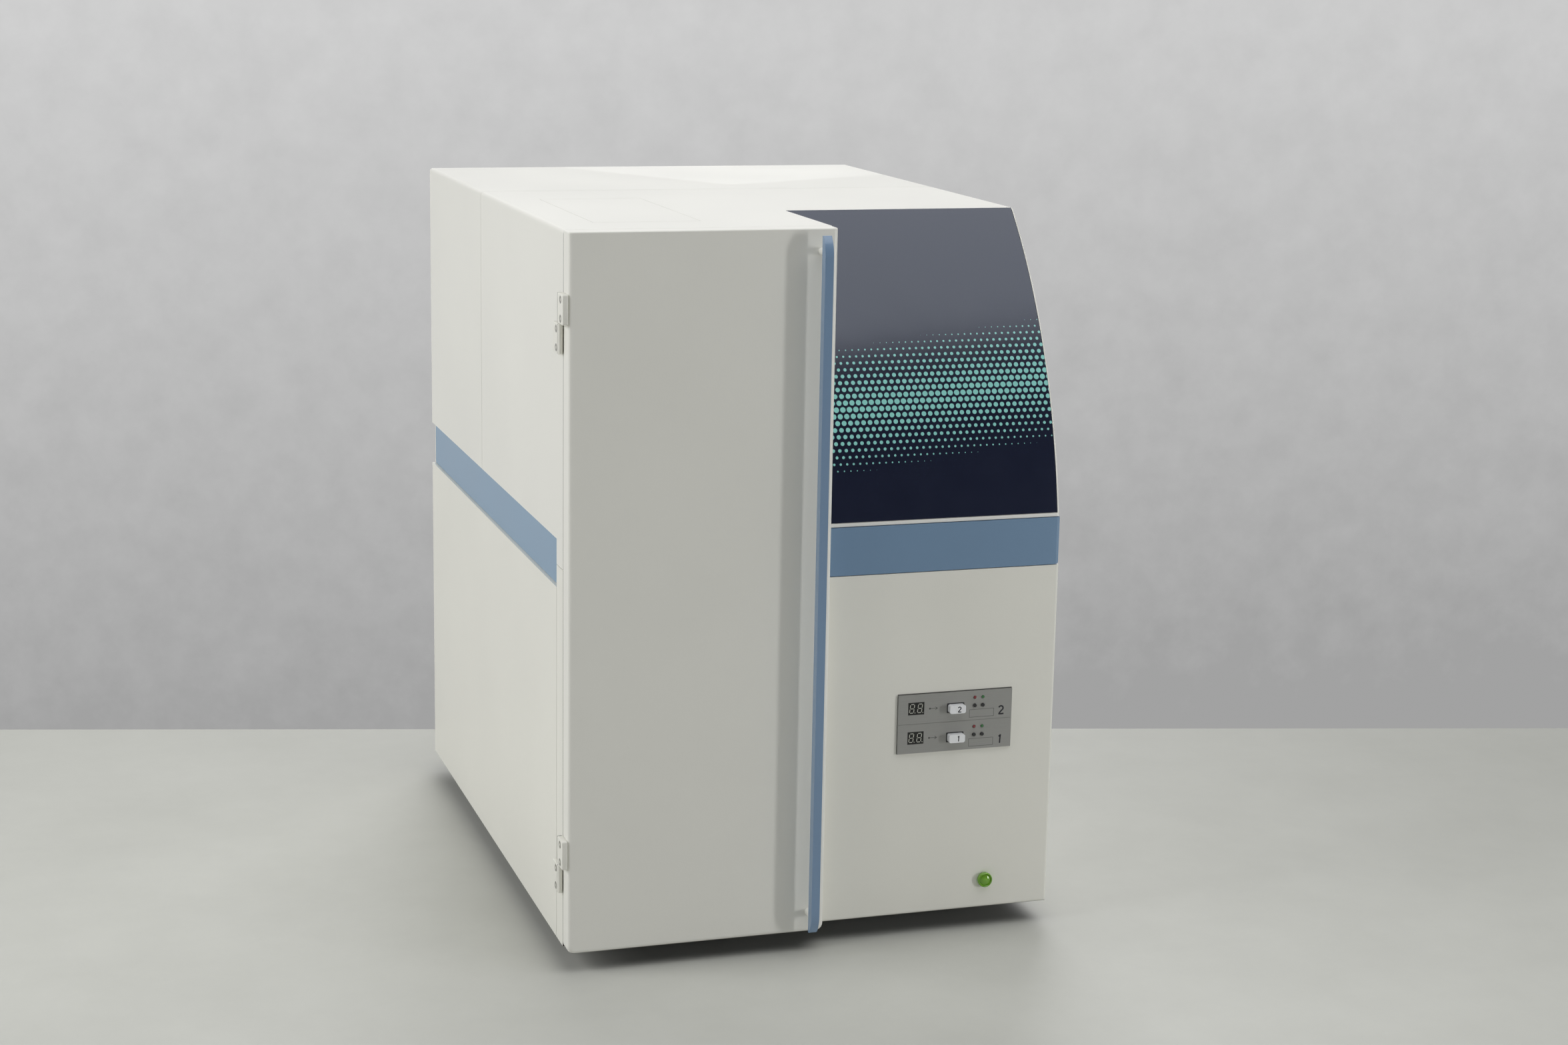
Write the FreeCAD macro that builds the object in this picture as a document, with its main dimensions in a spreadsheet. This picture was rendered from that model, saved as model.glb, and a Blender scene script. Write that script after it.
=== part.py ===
import FreeCAD, Part
import math
import os
import Sketcher
from FreeCAD import Placement, Rotation, Vector

# A bench-top liquid scintillation counter for microplates. A tower at the left holds
# a rack of plates behind a full height door. A belt lift carries the rack up and down, and
# a tray takes one plate at a time back between two lead shields with the photomultipliers.
# The bay at the right, under the curved hood, holds the electronics and the two drives.
# +X is to the right, -Y to the front, +Z up. The origin is on the table, under the middle
# of the footprint with the door handle and the rear fittings counted in.

SIZES = (
    # The whole body
    ("body_width", 425.0),
    ("door_reach", 282.0),
    ("back_reach", 296.0),
    ("body_top", 602.0),
    ("body_bottom", 18.0),
    ("cover_wall", 2.5),
    ("panel_wall", 2.0),
    ("seam", 0.6),
    ("seat", 0.3),
    # Tower, door and the handle on it
    ("tower_width", 218.3),
    ("door_thickness", 16.5),
    ("door_drop", 1.6),
    ("door_gap", 0.5),
    ("door_edge_radius", 3.5),
    ("door_top_radius", 1.2),
    ("door_corner_radius", 6.0),
    ("door_wall", 2.5),
    ("liner_thickness", 1.8),
    ("gasket_width", 4.0),
    ("gasket_inset", 9.0),
    ("gasket_height", 1.4),
    ("handle_width", 7.0),
    ("handle_depth", 8.0),
    ("handle_gap", 11.5),
    ("handle_inset", 17.3),
    ("handle_end_gap", 4.5),
    ("handle_end_radius", 24.0),
    ("handle_end_drop", 6.0),
    ("handle_end_run", 16.0),
    ("post_radius", 3.0),
    ("post_inset", 18.1),
    # Front frame of the tower
    ("frame_depth", 22.6),
    ("frame_top", 332.4),
    ("jamb_width", 12.5),
    ("inner_jamb_width", 10.8),
    ("sill_height", 14.0),
    ("lintel_height", 10.0),
    # Stripes and the seams beside them
    ("side_stripe_low", 314.1),
    ("side_stripe_high", 353.6),
    ("stripe_recess", 2.8),
    ("stripe_wall", 1.5),
    ("stripe_overlap", 8.0),
    ("front_stripe_low", 315.8),
    ("front_stripe_high", 356.3),
    ("front_setback", 13.8),
    ("front_return", 14.0),
    ("front_edge_radius", 2.5),
    ("stripe_edge_radius", 3.5),
    ("flange", 8.0),
    # Covers and the hood
    ("cover_seam", 52.5),
    ("hood_radius", 435.0),
    ("hood_setback", 1.9),
    ("hood_run", 124.6),
    ("cover_edge_radius", 3.0),
    ("graphic_margin", 2.3),
    ("graphic_side_gap", 0.8),
    ("graphic_low", 359.5),
    ("graphic_top_gap", 1.6),
    ("graphic_thickness", 0.8),
    ("graphic_glue", 0.2),
    # Hatch in the top of the tower
    ("hatch_inset", 35.5),
    ("hatch_width", 89.0),
    ("hatch_front_inset", 67.0),
    ("hatch_length", 192.0),
    ("hatch_ledge", 5.0),
    ("hatch_skin", 1.3),
    ("hatch_plug", 6.0),
    ("hatch_gap", 0.4),
    # Base
    ("base_lift", 19.0),
    ("base_thickness", 3.0),
    ("slot_width", 3.0),
    ("slot_length", 60.0),
    ("foot_radius", 16.0),
    ("foot_tip_radius", 13.0),
    ("foot_inset", 62.5),
    ("foot_front_inset", 63.2),
    ("foot_back_inset", 56.0),
    ("rear_inset", 1.5),
    # Hinges
    ("hinge_thickness", 4.8),
    ("hinge_leaf_height", 24.2),
    ("hinge_inset", 72.3),
    ("hinge_pivot_out", 2.6),
    ("hinge_knuckle_radius", 2.2),
    ("hinge_leaf_reach", 16.5),
    ("hinge_pin_radius", 1.2),
    ("hinge_pin_play", 0.05),
    ("hinge_pin_length", 14.0),
    # Door switch and magnet
    ("plunger_radius", 2.0),
    ("plunger_play", 0.08),
    ("switch_wall", 4.0),
    ("plunger_travel", 2.5),
    ("switch_height", 150.0),
    ("magnet_drop", 32.4),
    ("catch_width", 7.8),
    ("catch_depth", 20.0),
    ("catch_length", 20.0),
    # Plate rack
    ("rack_inset", 108.9),
    ("rack_clear_width", 129.0),
    ("rack_wall", 3.0),
    ("rack_front_gap", 16.0),
    ("rack_depth", 94.0),
    ("rack_bottom", 60.0),
    ("plate_pitch", 16.2),
    ("ledge_reach", 5.0),
    ("ledge_thickness", 1.5),
    # Lift
    ("rod_radius", 5.0),
    ("rod_spacing", 152.0),
    ("bush_radius", 8.0),
    ("bush_play", 0.05),
    ("bush_fit", 0.02),
    ("beam_depth", 30.0),
    ("beam_height", 32.0),
    ("beam_end", 11.0),
    ("fork_thickness", 8.0),
    ("clamp_height", 22.0),
    ("clamp_wall", 3.0),
    ("clamp_margin", 2.0),
    ("pulley_radius", 12.7),
    ("pulley_width", 12.0),
    ("pulley_inset", 10.5),
    ("pulley_gap", 42.0),
    ("rim_height", 2.5),
    ("rim_play", 0.3),
    ("belt_width", 10.0),
    ("belt_thickness", 1.5),
    ("belt_play", 0.3),
    ("idler_drop", 23.0),
    ("idler_axle_radius", 3.0),
    ("axle_play", 0.05),
    ("motor_size", 42.3),
    ("motor_length", 40.0),
    ("motor_gap", 4.0),
    ("motor_boss_radius", 11.0),
    ("motor_boss_height", 2.0),
    ("motor_bore_depth", 20.0),
    ("tray_motor_inset", 70.0),
    ("shaft_radius", 2.5),
    ("bracket_drop", 19.0),
    ("top_bracket_thickness", 6.0),
    ("bracket_play", 1.0),
    ("bracket_margin", 10.0),
    ("cheek_thickness", 3.0),
    ("cheek_play", 0.5),
    ("cheek_half_width", 9.0),
    ("cheek_tail", 8.0),
    # Transfer deck, rails and tray
    ("deck_top", 290.0),
    ("deck_thickness", 4.0),
    ("deck_gap", 20.0),
    ("deck_back_gap", 11.0),
    ("deck_post_radius", 6.0),
    ("deck_post_edge", 8.0),
    ("rail_gap", 19.0),
    ("rail_tail", 15.0),
    ("rail_wall", 3.0),
    ("rail_flange", 10.0),
    ("rail_flange_height", 4.7),
    ("rail_height", 22.0),
    ("tray_width", 131.4),
    ("tray_play", 0.3),
    ("tray_length", 90.0),
    ("tray_inset", 10.0),
    ("tray_thickness", 3.5),
    ("tray_lip", 3.0),
    # Shields and detectors
    ("shield_width", 155.0),
    ("shield_length", 110.0),
    ("shield_gap", 123.0),
    ("shield_height", 70.0),
    ("counting_gap", 36.0),
    ("shield_post_radius", 3.0),
    ("shield_post_edge", 5.0),
    ("shield_post_out", 0.7),
    ("tube_radius", 14.0),
    ("tube_play", 0.3),
    ("tube_pitch", 37.0),
    ("tube_overhang", 14.0),
    ("board_thickness", 1.6),
    # Front panel fittings
    ("drive_inset", 39.2),
    ("drive_width", 101.6),
    ("drive_height", 25.4),
    ("drive_low", 160.5),
    ("drive_proud", 1.8),
    ("drive_bezel_thickness", 3.5),
    ("drive_depth", 126.0),
    ("drive_split", 0.2),
    ("drive_gap", 0.1),
    ("display_left", 8.7),
    ("display_drop", 6.7),
    ("display_width", 14.3),
    ("display_height", 10.8),
    ("display_depth", 0.6),
    ("led_radius", 1.4),
    ("led_drop", 5.8),
    ("led_proud", 0.2),
    ("button_first", 68.2),
    ("button_spacing", 7.2),
    ("button_drop", 12.8),
    ("button_radius", 1.5),
    ("button_play", 0.08),
    ("button_proud", 0.9),
    ("button_length", 3.9),
    ("stick_left", 44.0),
    ("stick_drop", 10.2),
    ("stick_width", 14.0),
    ("stick_height", 7.0),
    ("stick_proud", 5.6),
    ("stick_corner", 1.6),
    ("plug_width", 12.0),
    ("plug_height", 4.5),
    ("plug_depth", 12.0),
    ("plug_play", 0.2),
    ("lamp_inset", 58.2),
    ("lamp_height", 43.3),
    ("lamp_bezel_radius", 6.75),
    ("lamp_dome_radius", 5.2),
    ("lamp_bezel_depth", 2.0),
    ("lamp_proud", 5.0),
    ("lamp_hole_radius", 5.5),
    ("lamp_nut_radius", 8.0),
    ("lamp_nut_thickness", 4.0),
    ("lamp_body_depth", 24.0),
    # Electronics
    ("card_height", 220.0),
    ("card_gap", 5.0),
    ("card_spacing", 24.0),
    ("card_inset", 18.2),
    ("card_setback", 208.2),
    ("supply_width", 150.0),
    ("supply_depth", 130.0),
    ("supply_height", 88.0),
    ("supply_inset", 12.5),
    ("supply_back_gap", 41.0),
    # Fan
    ("fan_size", 119.0),
    ("fan_thickness", 38.0),
    ("fan_inset", 102.5),
    ("fan_drop", 172.0),
    ("fan_bore", 56.0),
    ("fan_hub", 21.0),
    ("fan_stator_length", 8.0),
    ("fan_arm_thickness", 4.0),
    ("fan_arm_width", 6.0),
    ("fan_spindle_radius", 2.0),
    ("fan_spindle_length", 8.0),
    ("fan_rotor_gap", 0.5),
    ("fan_blade_gap", 3.0),
    ("blade_edge", 1.0),
    ("blade_root", 3.0),
    ("blade_side", 7.0),
    ("blade_thickness", 2.4),
    ("blade_lean", 14.0),
    ("guard_wire", 2.0),
    ("guard_margin", 1.0),
    ("guard_pitch", 17.0),
    ("guard_bar_end", 5.0),
    # Mains module and serial ports
    ("module_inset", 47.5),
    ("module_height", 72.0),
    ("module_width", 28.0),
    ("module_tall", 58.0),
    ("module_depth", 27.0),
    ("module_flange", 3.0),
    ("module_flange_edge", 3.0),
    ("socket_width", 22.6),
    ("socket_height", 16.4),
    ("socket_depth", 16.0),
    ("pin_spacing", 7.0),
    ("pin_drop", 2.0),
    ("pin_rise", 3.0),
    ("pin_width", 2.0),
    ("pin_height", 4.0),
    ("pin_setback", 2.0),
    ("rocker_radius", 7.5),
    ("rocker_play", 0.3),
    ("rocker_width", 18.0),
    ("rocker_margin", 2.0),
    ("rocker_proud", 3.0),
    ("rocker_back", 2.0),
    ("rocker_dip", 1.2),
    ("fuse_width", 20.0),
    ("fuse_height", 8.0),
    ("fuse_length", 22.0),
    ("fuse_margin", 4.0),
    ("fuse_proud", 1.5),
    ("port_inset", 92.5),
    ("port_height", 70.0),
    ("port_spacing", 30.0),
    ("port_window_width", 18.0),
    ("port_window_height", 10.0),
    ("port_flange_width", 30.8),
    ("port_flange_height", 12.4),
    ("port_flange_thickness", 1.0),
    ("port_shell_width", 16.6),
    ("port_shell_height", 8.4),
    ("port_shell_proud", 5.0),
    ("port_shell_tail", 8.0),
    ("vent_width", 60.0),
    ("vent_height", 4.0),
    ("vent_drop", 50.0),
    ("vent_pitch", 10.0),
)

LEDGES = 16
CARDS = 6
SLOTS = 16
VENTS = 11
TUBE_COLUMNS = 3
TUBE_ROWS = 2
FAN_BLADES = 7
GUARD_RINGS = 3

doc = FreeCAD.newDocument("plate_counter")
sheet = doc.addObject("Spreadsheet::Sheet", "sizes")
for row, (alias, number) in enumerate(SIZES, 1):
    sheet.set(f"A{row}", alias)
    sheet.set(f"B{row}", str(number))
    sheet.setAlias(f"B{row}", alias)
doc.recompute()


class Size:
    """A length with its value and the sheet formula that it comes from."""

    def __init__(self, value, formula):
        self.value = value
        self.formula = formula

    def __add__(self, other):
        other = as_size(other)
        return Size(self.value + other.value, f"({self.formula} + {other.formula})")

    def __sub__(self, other):
        other = as_size(other)
        return Size(self.value - other.value, f"({self.formula} - {other.formula})")

    def __mul__(self, other):
        other = as_size(other)
        return Size(self.value * other.value, f"({self.formula} * {other.formula})")

    def __truediv__(self, other):
        other = as_size(other)
        return Size(self.value / other.value, f"({self.formula} / {other.formula})")

    def __neg__(self):
        return Size(-self.value, f"(0 - {self.formula})")

    def __radd__(self, other):
        return as_size(other) + self

    def __rsub__(self, other):
        return as_size(other) - self

    def __rmul__(self, other):
        return as_size(other) * self


def as_size(number):
    if isinstance(number, Size):
        return number
    return Size(float(number), f"({float(number)})")


class Sizes:
    """The sheet's cells as attributes, with the planes that several pieces share."""


s = Sizes()
for alias, number in SIZES:
    setattr(s, alias, Size(float(sheet.get(alias)), "sizes." + alias))

s.left = -s.body_width / 2
s.right = s.body_width / 2
s.door_face = -s.door_reach
s.door_back = s.door_face + s.door_thickness
s.tower_front = s.door_back + s.door_gap
s.tower_right = s.left + s.tower_width
s.frame_back = s.tower_front + s.frame_depth
s.front_reach = s.door_reach - s.front_setback
s.front_face = -s.front_reach
s.front_left = s.tower_right + s.seam
s.front_back = s.front_face + s.front_return
s.cover_inside = s.left + s.cover_wall
s.tower_inside = s.tower_right - s.cover_wall
s.inner_right = s.right - s.cover_wall
s.cover_ceiling = s.body_top - s.cover_wall
s.base_top = s.base_lift + s.base_thickness
s.floor = s.base_top + s.seat
s.rear_face = s.back_reach - s.rear_inset
s.rear_inside = s.rear_face - s.panel_wall
s.hood_foot_reach = s.front_reach - s.hood_setback
s.hood_crest_reach = s.hood_foot_reach - s.hood_run
s.hatch_left = -s.left - s.hatch_inset
s.hatch_right = s.hatch_left - s.hatch_width
s.hatch_front = s.door_reach - s.hatch_front_inset
s.hatch_back = s.hatch_front - s.hatch_length
s.foot_across = s.body_width - s.foot_inset * 2
s.foot_front = s.front_reach - s.foot_front_inset
s.foot_back = s.back_reach - s.foot_back_inset
s.rack_centre = -s.left - s.rack_inset
s.rack_left = -s.rack_centre - s.rack_clear_width / 2
s.rack_right = -s.rack_centre + s.rack_clear_width / 2
s.rack_front = s.tower_front + s.rack_front_gap
s.rack_back = -s.rack_front - s.rack_depth
s.rack_floor = s.rack_bottom + s.rack_wall
s.rack_ceiling = s.rack_floor + s.plate_pitch * LEDGES
s.rod_back = s.rack_back - s.beam_depth / 2
s.pulley_left = -s.left - s.pulley_inset
s.pulley_back = s.rod_back - s.pulley_gap
s.top_bracket_height = s.body_top - s.bracket_drop
s.idler_height = s.top_bracket_height - s.idler_drop
s.deck_front = s.pulley_back - s.deck_gap
s.deck_back = s.back_reach - s.deck_back_gap
s.shield_front = s.shield_gap - s.deck_front
s.tray_front = s.shield_front + s.tray_inset
s.rail_front = s.rod_back - s.rail_gap
s.rail_back = s.shield_front + s.shield_length + s.rail_tail
s.rail_clear_width = s.tray_width + s.tray_play * 2
s.drive_left = s.right - s.drive_inset - s.drive_width
s.lamp_across = s.right - s.lamp_inset
s.card_left = s.tower_right + s.card_inset
s.card_front = s.front_reach - s.card_setback
s.supply_left = s.right - s.supply_inset - s.supply_width
s.supply_front = s.back_reach - s.supply_back_gap - s.supply_depth
s.fan_across = s.right - s.fan_inset
s.fan_height = s.body_top - s.fan_drop
s.module_across = s.right - s.module_inset
s.port_across = -s.left - s.port_inset
s.magnet_height = s.frame_top - s.magnet_drop

pieces = []


def piece(name, made):
    """Keep a finished sub-part under the name that its file gets."""
    made.Label = name
    pieces.append(made)
    return made


def block(name, across, deep, high):
    """A box between two limits along X, Y and Z."""
    box = doc.addObject("Part::Box", name)
    for size, place, limits in (("Length", "x", across), ("Width", "y", deep), ("Height", "z", high)):
        low = as_size(limits[0])
        top = as_size(limits[1])
        box.setExpression(size, (top - low).formula)
        box.setExpression("Placement.Base." + place, low.formula)
    return box


TURNS = {
    "x": Rotation(Vector(0, 1, 0), 90),
    "y": Rotation(Vector(1, 0, 0), -90),
    "z": Rotation(),
}


def rod(name, axis, centre, span, radius):
    """A round bar along an axis; centre is the point where the axis line crosses, in XYZ order."""
    bar = doc.addObject("Part::Cylinder", name)
    bar.Placement = Placement(Vector(), TURNS[axis])
    low = as_size(span[0])
    bar.setExpression("Height", (as_size(span[1]) - low).formula)
    bar.setExpression("Radius", as_size(radius).formula)
    others = [letter for letter in "xyz" if letter != axis]
    bar.setExpression("Placement.Base." + axis, low.formula)
    for letter, place in zip(others, centre):
        bar.setExpression("Placement.Base." + letter, as_size(place).formula)
    return bar


def join(name, *parts):
    fused = doc.addObject("Part::MultiFuse", name)
    fused.Shapes = list(parts)
    return fused


def cut(name, base, *tools):
    remaining = doc.addObject("Part::Cut", name)
    remaining.Base = base
    remaining.Tool = tools[0] if len(tools) == 1 else join(name + "_tools", *tools)
    return remaining


def common(name, first, second):
    shared = doc.addObject("Part::Common", name)
    shared.Base = first
    shared.Tool = second
    return shared


def group(name, *parts):
    """Several like solids that are kept as one sub-part."""
    gathered = doc.addObject("Part::Compound", name)
    gathered.Links = list(parts)
    return gathered


def ring(name, axis, centre, span, outer, inner):
    solid = rod(name + "_disc", axis, centre, span, outer)
    hole = rod(name + "_hole", axis, centre, span, inner)
    return cut(name, solid, hole)


def new_body(name):
    return doc.addObject("PartDesign::Body", name)


def new_sketch(body, name, plane, offset):
    """A sketch on one of the body's own planes, moved along that plane's normal."""
    drawing = body.newObject("Sketcher::SketchObject", name)
    role = plane + "_Plane"
    support = next(feature for feature in body.Origin.OriginFeatures if feature.Role == role)
    drawing.AttachmentSupport = [(support, "")]
    drawing.MapMode = "FlatFace"
    drawing.setExpression("AttachmentOffset.Base.z", as_size(offset).formula)
    return drawing


def pin_point(drawing, geometry, end, across, up):
    """Hold one sketch point at two sheet values."""
    for kind, place in (("DistanceX", across), ("DistanceY", up)):
        place = as_size(place)
        index = drawing.addConstraint(Sketcher.Constraint(kind, -1, 1, geometry, end, place.value))
        drawing.setExpression(f"Constraints[{index}]", place.formula)


def arc_between(start, stop, radius, bulge):
    """An arc from start to stop; bulge +1 or -1 picks the side that its centre lies on."""
    chord = stop - start
    half = chord.Length / 2
    away = Vector(-chord.y, chord.x, 0).normalize() * bulge
    centre = (start + stop) * 0.5 + away * math.sqrt(max(radius**2 - half**2, 0.0))
    first = math.atan2(start.y - centre.y, start.x - centre.x)
    last = math.atan2(stop.y - centre.y, stop.x - centre.x)
    circle = Part.Circle(centre, Vector(0, 0, 1), radius)
    if bulge > 0:
        return Part.ArcOfCircle(circle, first, last), 1, 2
    return Part.ArcOfCircle(circle, last, first), 2, 1


def draw(drawing, corners, arcs=None):
    """A closed outline through corners; arcs maps a corner's number to (radius, bulge)."""
    arcs = arcs or {}
    points = [Vector(as_size(across).value, as_size(up).value, 0) for across, up in corners]
    ends = []
    for number, start in enumerate(points):
        stop = points[(number + 1) % len(points)]
        if number in arcs:
            radius, bulge = arcs[number]
            curve, first_end, last_end = arc_between(start, stop, as_size(radius).value, bulge)
        else:
            curve, first_end, last_end = Part.LineSegment(start, stop), 1, 2
        ends.append((drawing.addGeometry(curve, False), first_end, last_end))
    for number, (geometry, first_end, last_end) in enumerate(ends):
        following, following_end, unused = ends[(number + 1) % len(ends)]
        drawing.addConstraint(
            Sketcher.Constraint("Coincident", geometry, last_end, following, following_end)
        )
        pin_point(drawing, geometry, first_end, *corners[number])
        if number in arcs:
            radius = as_size(arcs[number][0])
            index = drawing.addConstraint(Sketcher.Constraint("Radius", geometry, radius.value))
            drawing.setExpression(f"Constraints[{index}]", radius.formula)


def draw_circle(drawing, across, up, radius):
    radius = as_size(radius)
    centre = Vector(as_size(across).value, as_size(up).value, 0)
    geometry = drawing.addGeometry(Part.Circle(centre, Vector(0, 0, 1), radius.value), False)
    pin_point(drawing, geometry, 3, across, up)
    index = drawing.addConstraint(Sketcher.Constraint("Radius", geometry, radius.value))
    drawing.setExpression(f"Constraints[{index}]", radius.formula)


def box_outline(low_across, high_across, low_up, high_up):
    return [
        (low_across, low_up),
        (high_across, low_up),
        (high_across, high_up),
        (low_across, high_up),
    ]


def add(body, name, plane, corners, low, high, arcs=None):
    """Pad an outline between two limits along the plane's normal axis."""
    offset = -high if plane == "XZ" else low
    drawing = new_sketch(body, name + "_outline", plane, offset)
    draw(drawing, corners, arcs)
    pad = body.newObject("PartDesign::Pad", name)
    pad.Profile = drawing
    pad.setExpression("Length", (as_size(high) - as_size(low)).formula)
    drawing.Visibility = False
    return pad


def take(body, name, plane, low, high, corners=None, arcs=None, circles=()):
    """Pocket an outline, or circles, between two limits along the plane's normal axis."""
    offset = -as_size(low) if plane == "XZ" else high
    drawing = new_sketch(body, name + "_outline", plane, offset)
    if corners:
        draw(drawing, corners, arcs)
    for across, up, radius in circles:
        draw_circle(drawing, across, up, radius)
    pocket = body.newObject("PartDesign::Pocket", name)
    pocket.Profile = drawing
    pocket.setExpression("Length", (as_size(high) - as_size(low)).formula)
    return pocket


def soften(body, name, radius, chosen):
    """Round the edges of the body's last feature for which chosen is true."""
    doc.recompute()
    last = body.Tip
    edges = [f"Edge{i}" for i, edge in enumerate(last.Shape.Edges, 1) if chosen(edge)]
    fillet = body.newObject("PartDesign::Fillet", name)
    fillet.Base = (last, edges)
    fillet.setExpression("Radius", radius.formula)
    return fillet


def repeat(body, name, feature, drawing, axis, length, count):
    """Repeat a feature in a row."""
    row = body.newObject("PartDesign::LinearPattern", name)
    row.Originals = [feature]
    row.Direction = (drawing, [axis])
    row.setExpression("Length", as_size(length).formula)
    row.Occurrences = count
    body.Tip = row
    return row


def spans(edge, axis):
    """True for a straight edge along an axis."""
    run = edge.Vertexes[-1].Point - edge.Vertexes[0].Point
    return run.Length > 0.5 and abs(abs(getattr(run, axis)) - run.Length) < 0.001


def at(edge, axis, place):
    """True where both ends and the middle of an edge lie at one place along an axis."""
    middle = edge.valueAt((edge.FirstParameter + edge.LastParameter) / 2)
    points = [vertex.Point for vertex in edge.Vertexes] + [middle]
    return all(abs(getattr(point, axis) - place.value) < 0.01 for point in points)


# Base plate with two rows of slots that let air in under the cards.
def make_base_plate():
    body = new_body("base_plate_body")
    inset = s.cover_wall + s.seat
    front = s.front_back + s.seat
    outline = box_outline(s.left + inset, s.right - inset, front, s.rear_face)
    add(body, "base_sheet", "XY", outline, s.base_lift, s.base_top)
    slot = box_outline(
        s.card_left, s.card_left + s.slot_width, -s.card_front, s.slot_length - s.card_front
    )
    pocket = take(body, "base_slot", "XY", s.base_lift, s.base_top, slot)
    reach = s.card_spacing * (CARDS - 1)
    repeat(body, "base_slots", pocket, pocket.Profile[0], "H_Axis", reach, SLOTS)
    piece("base_plate", body)


# Four rubber feet, set in far enough to stay out of sight.
def make_feet():
    feet = []
    for side in (-1, 1):
        for place, depth in (("front", -s.foot_front), ("back", s.foot_back)):
            foot = doc.addObject("Part::Cone", f"foot_{place}_{'left' if side < 0 else 'right'}")
            foot.setExpression("Radius1", s.foot_tip_radius.formula)
            foot.setExpression("Radius2", s.foot_radius.formula)
            foot.setExpression("Height", s.base_lift.formula)
            foot.setExpression("Placement.Base.x", (s.foot_across * side / 2).formula)
            foot.setExpression("Placement.Base.y", depth.formula)
            feet.append(foot)
    piece("feet", group("foot_set", *feet))


# Side panels: a sheet with its top edge folded inwards under the stripe.
def make_side_panels():
    top = s.side_stripe_low - s.seat
    for name, skin, fold, wall, front in (
        ("left_lower_panel", s.left, s.left + s.flange, s.left + s.panel_wall, s.frame_back + s.seam),
        ("right_lower_panel", s.right, s.right - s.flange, s.right - s.panel_wall, s.front_back + s.seam),
    ):
        body = new_body(name + "_body")
        outline = [
            (skin, s.body_bottom),
            (skin, top),
            (fold, top),
            (fold, top - s.panel_wall),
            (wall, top - s.panel_wall),
            (wall, s.body_bottom),
        ]
        add(body, name + "_sheet", "XZ", outline, front, s.back_reach)
        across = sorted((wall, fold), key=lambda place: place.value)
        notch = box_outline(*across, s.rear_inside - s.seat, s.back_reach)
        take(body, name + "_rear_notch", "XY", top - s.panel_wall, top, notch)
        piece(name, body)


# Blue stripes: sheets set back from the skin, tucked up behind the covers.
def make_side_stripes():
    high = s.side_stripe_high + s.stripe_overlap
    deep = s.stripe_recess + s.stripe_wall
    sheets = [
        block(
            "left_stripe_sheet",
            (s.left + s.stripe_recess, s.left + deep),
            (s.frame_back + s.seam, s.rear_inside - s.seat),
            (s.side_stripe_low, high),
        ),
        block(
            "right_stripe_sheet",
            (s.right - deep, s.right - s.stripe_recess),
            (s.front_back + s.seam, s.rear_inside - s.seat),
            (s.side_stripe_low, high),
        ),
    ]
    piece("side_stripes", group("side_stripe_set", *sheets))


# A front panel is a shallow tray, open at the back, with its outer edges rounded.
def front_tray(name, low, high, radius, rounded):
    body = new_body(name + "_body")
    outline = box_outline(s.front_left, s.right, low, high)
    add(body, name + "_tray", "XZ", outline, s.front_face, s.front_back)
    soften(body, name + "_edges", radius, rounded)
    wall = s.panel_wall
    hollow = box_outline(s.front_left + wall, s.right - wall, low + wall, high - wall)
    take(body, name + "_hollow", "XZ", s.front_face + wall, s.front_back, hollow)
    return body


def make_front_stripe():
    low = s.front_stripe_low + s.seam / 2
    high = s.front_stripe_high - s.seam / 2

    def rounded(edge):
        if at(edge, "x", s.right) and at(edge, "y", s.front_face):
            return True
        return at(edge, "z", low) and at(edge, "x", s.right)

    piece("front_stripe", front_tray("front_stripe", low, high, s.stripe_edge_radius, rounded))


def drive_place(number):
    """The low edge of a drive's face: 0 is the upper drive."""
    return s.drive_low + s.drive_height * (1 - number)


# Lower front panel with the drives' window and the pilot lamp's hole.
def make_front_lower_panel():
    high = s.front_stripe_low - s.seam / 2

    def rounded(edge):
        return at(edge, "y", s.front_face) and (at(edge, "x", s.right) or at(edge, "z", s.body_bottom))

    body = front_tray("front_lower_panel", s.body_bottom, high, s.front_edge_radius, rounded)
    window = box_outline(
        s.drive_left - s.seat,
        s.drive_left + s.drive_width + s.seat,
        s.drive_low - s.seat,
        s.drive_low + s.drive_height * 2 + s.seam,
    )
    back = s.front_face + s.panel_wall
    take(body, "drive_window", "XZ", s.front_face, back, window)
    hole = [(s.lamp_across, s.lamp_height, s.lamp_hole_radius + s.tube_play)]
    take(body, "lamp_hole", "XZ", s.front_face, back, circles=hole)
    piece("front_lower_panel", body)


def hood_outline(inset, low):
    """Side profile of the hood: its arc, moved inwards, from the low edge to the crest."""
    centre_y, centre_z = hood_centre()
    radius = s.hood_radius - inset
    rise = root(radius * radius - square(low - centre_z))
    crest = root(radius * radius - square(s.body_top - inset - centre_z))
    return (centre_y - rise, low), (centre_y - crest, s.body_top - inset), radius


def square(length):
    return length * length


def root(length):
    return Size(math.sqrt(length.value), f"sqrt({length.formula})")


def hood_centre():
    """Centre of the arc through the hood's foot and its crest."""
    foot_y = -s.hood_foot_reach
    foot_z = s.front_stripe_high + s.seam / 2
    crest_y = -s.hood_crest_reach
    run = crest_y - foot_y
    rise = s.body_top - foot_z
    chord = root(square(run) + square(rise))
    sag = root(square(s.hood_radius) - square(chord) / 4)
    middle_y = (foot_y + crest_y) / 2
    middle_z = (foot_z + s.body_top) / 2
    return middle_y + sag * rise / chord, middle_z - sag * run / chord


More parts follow.
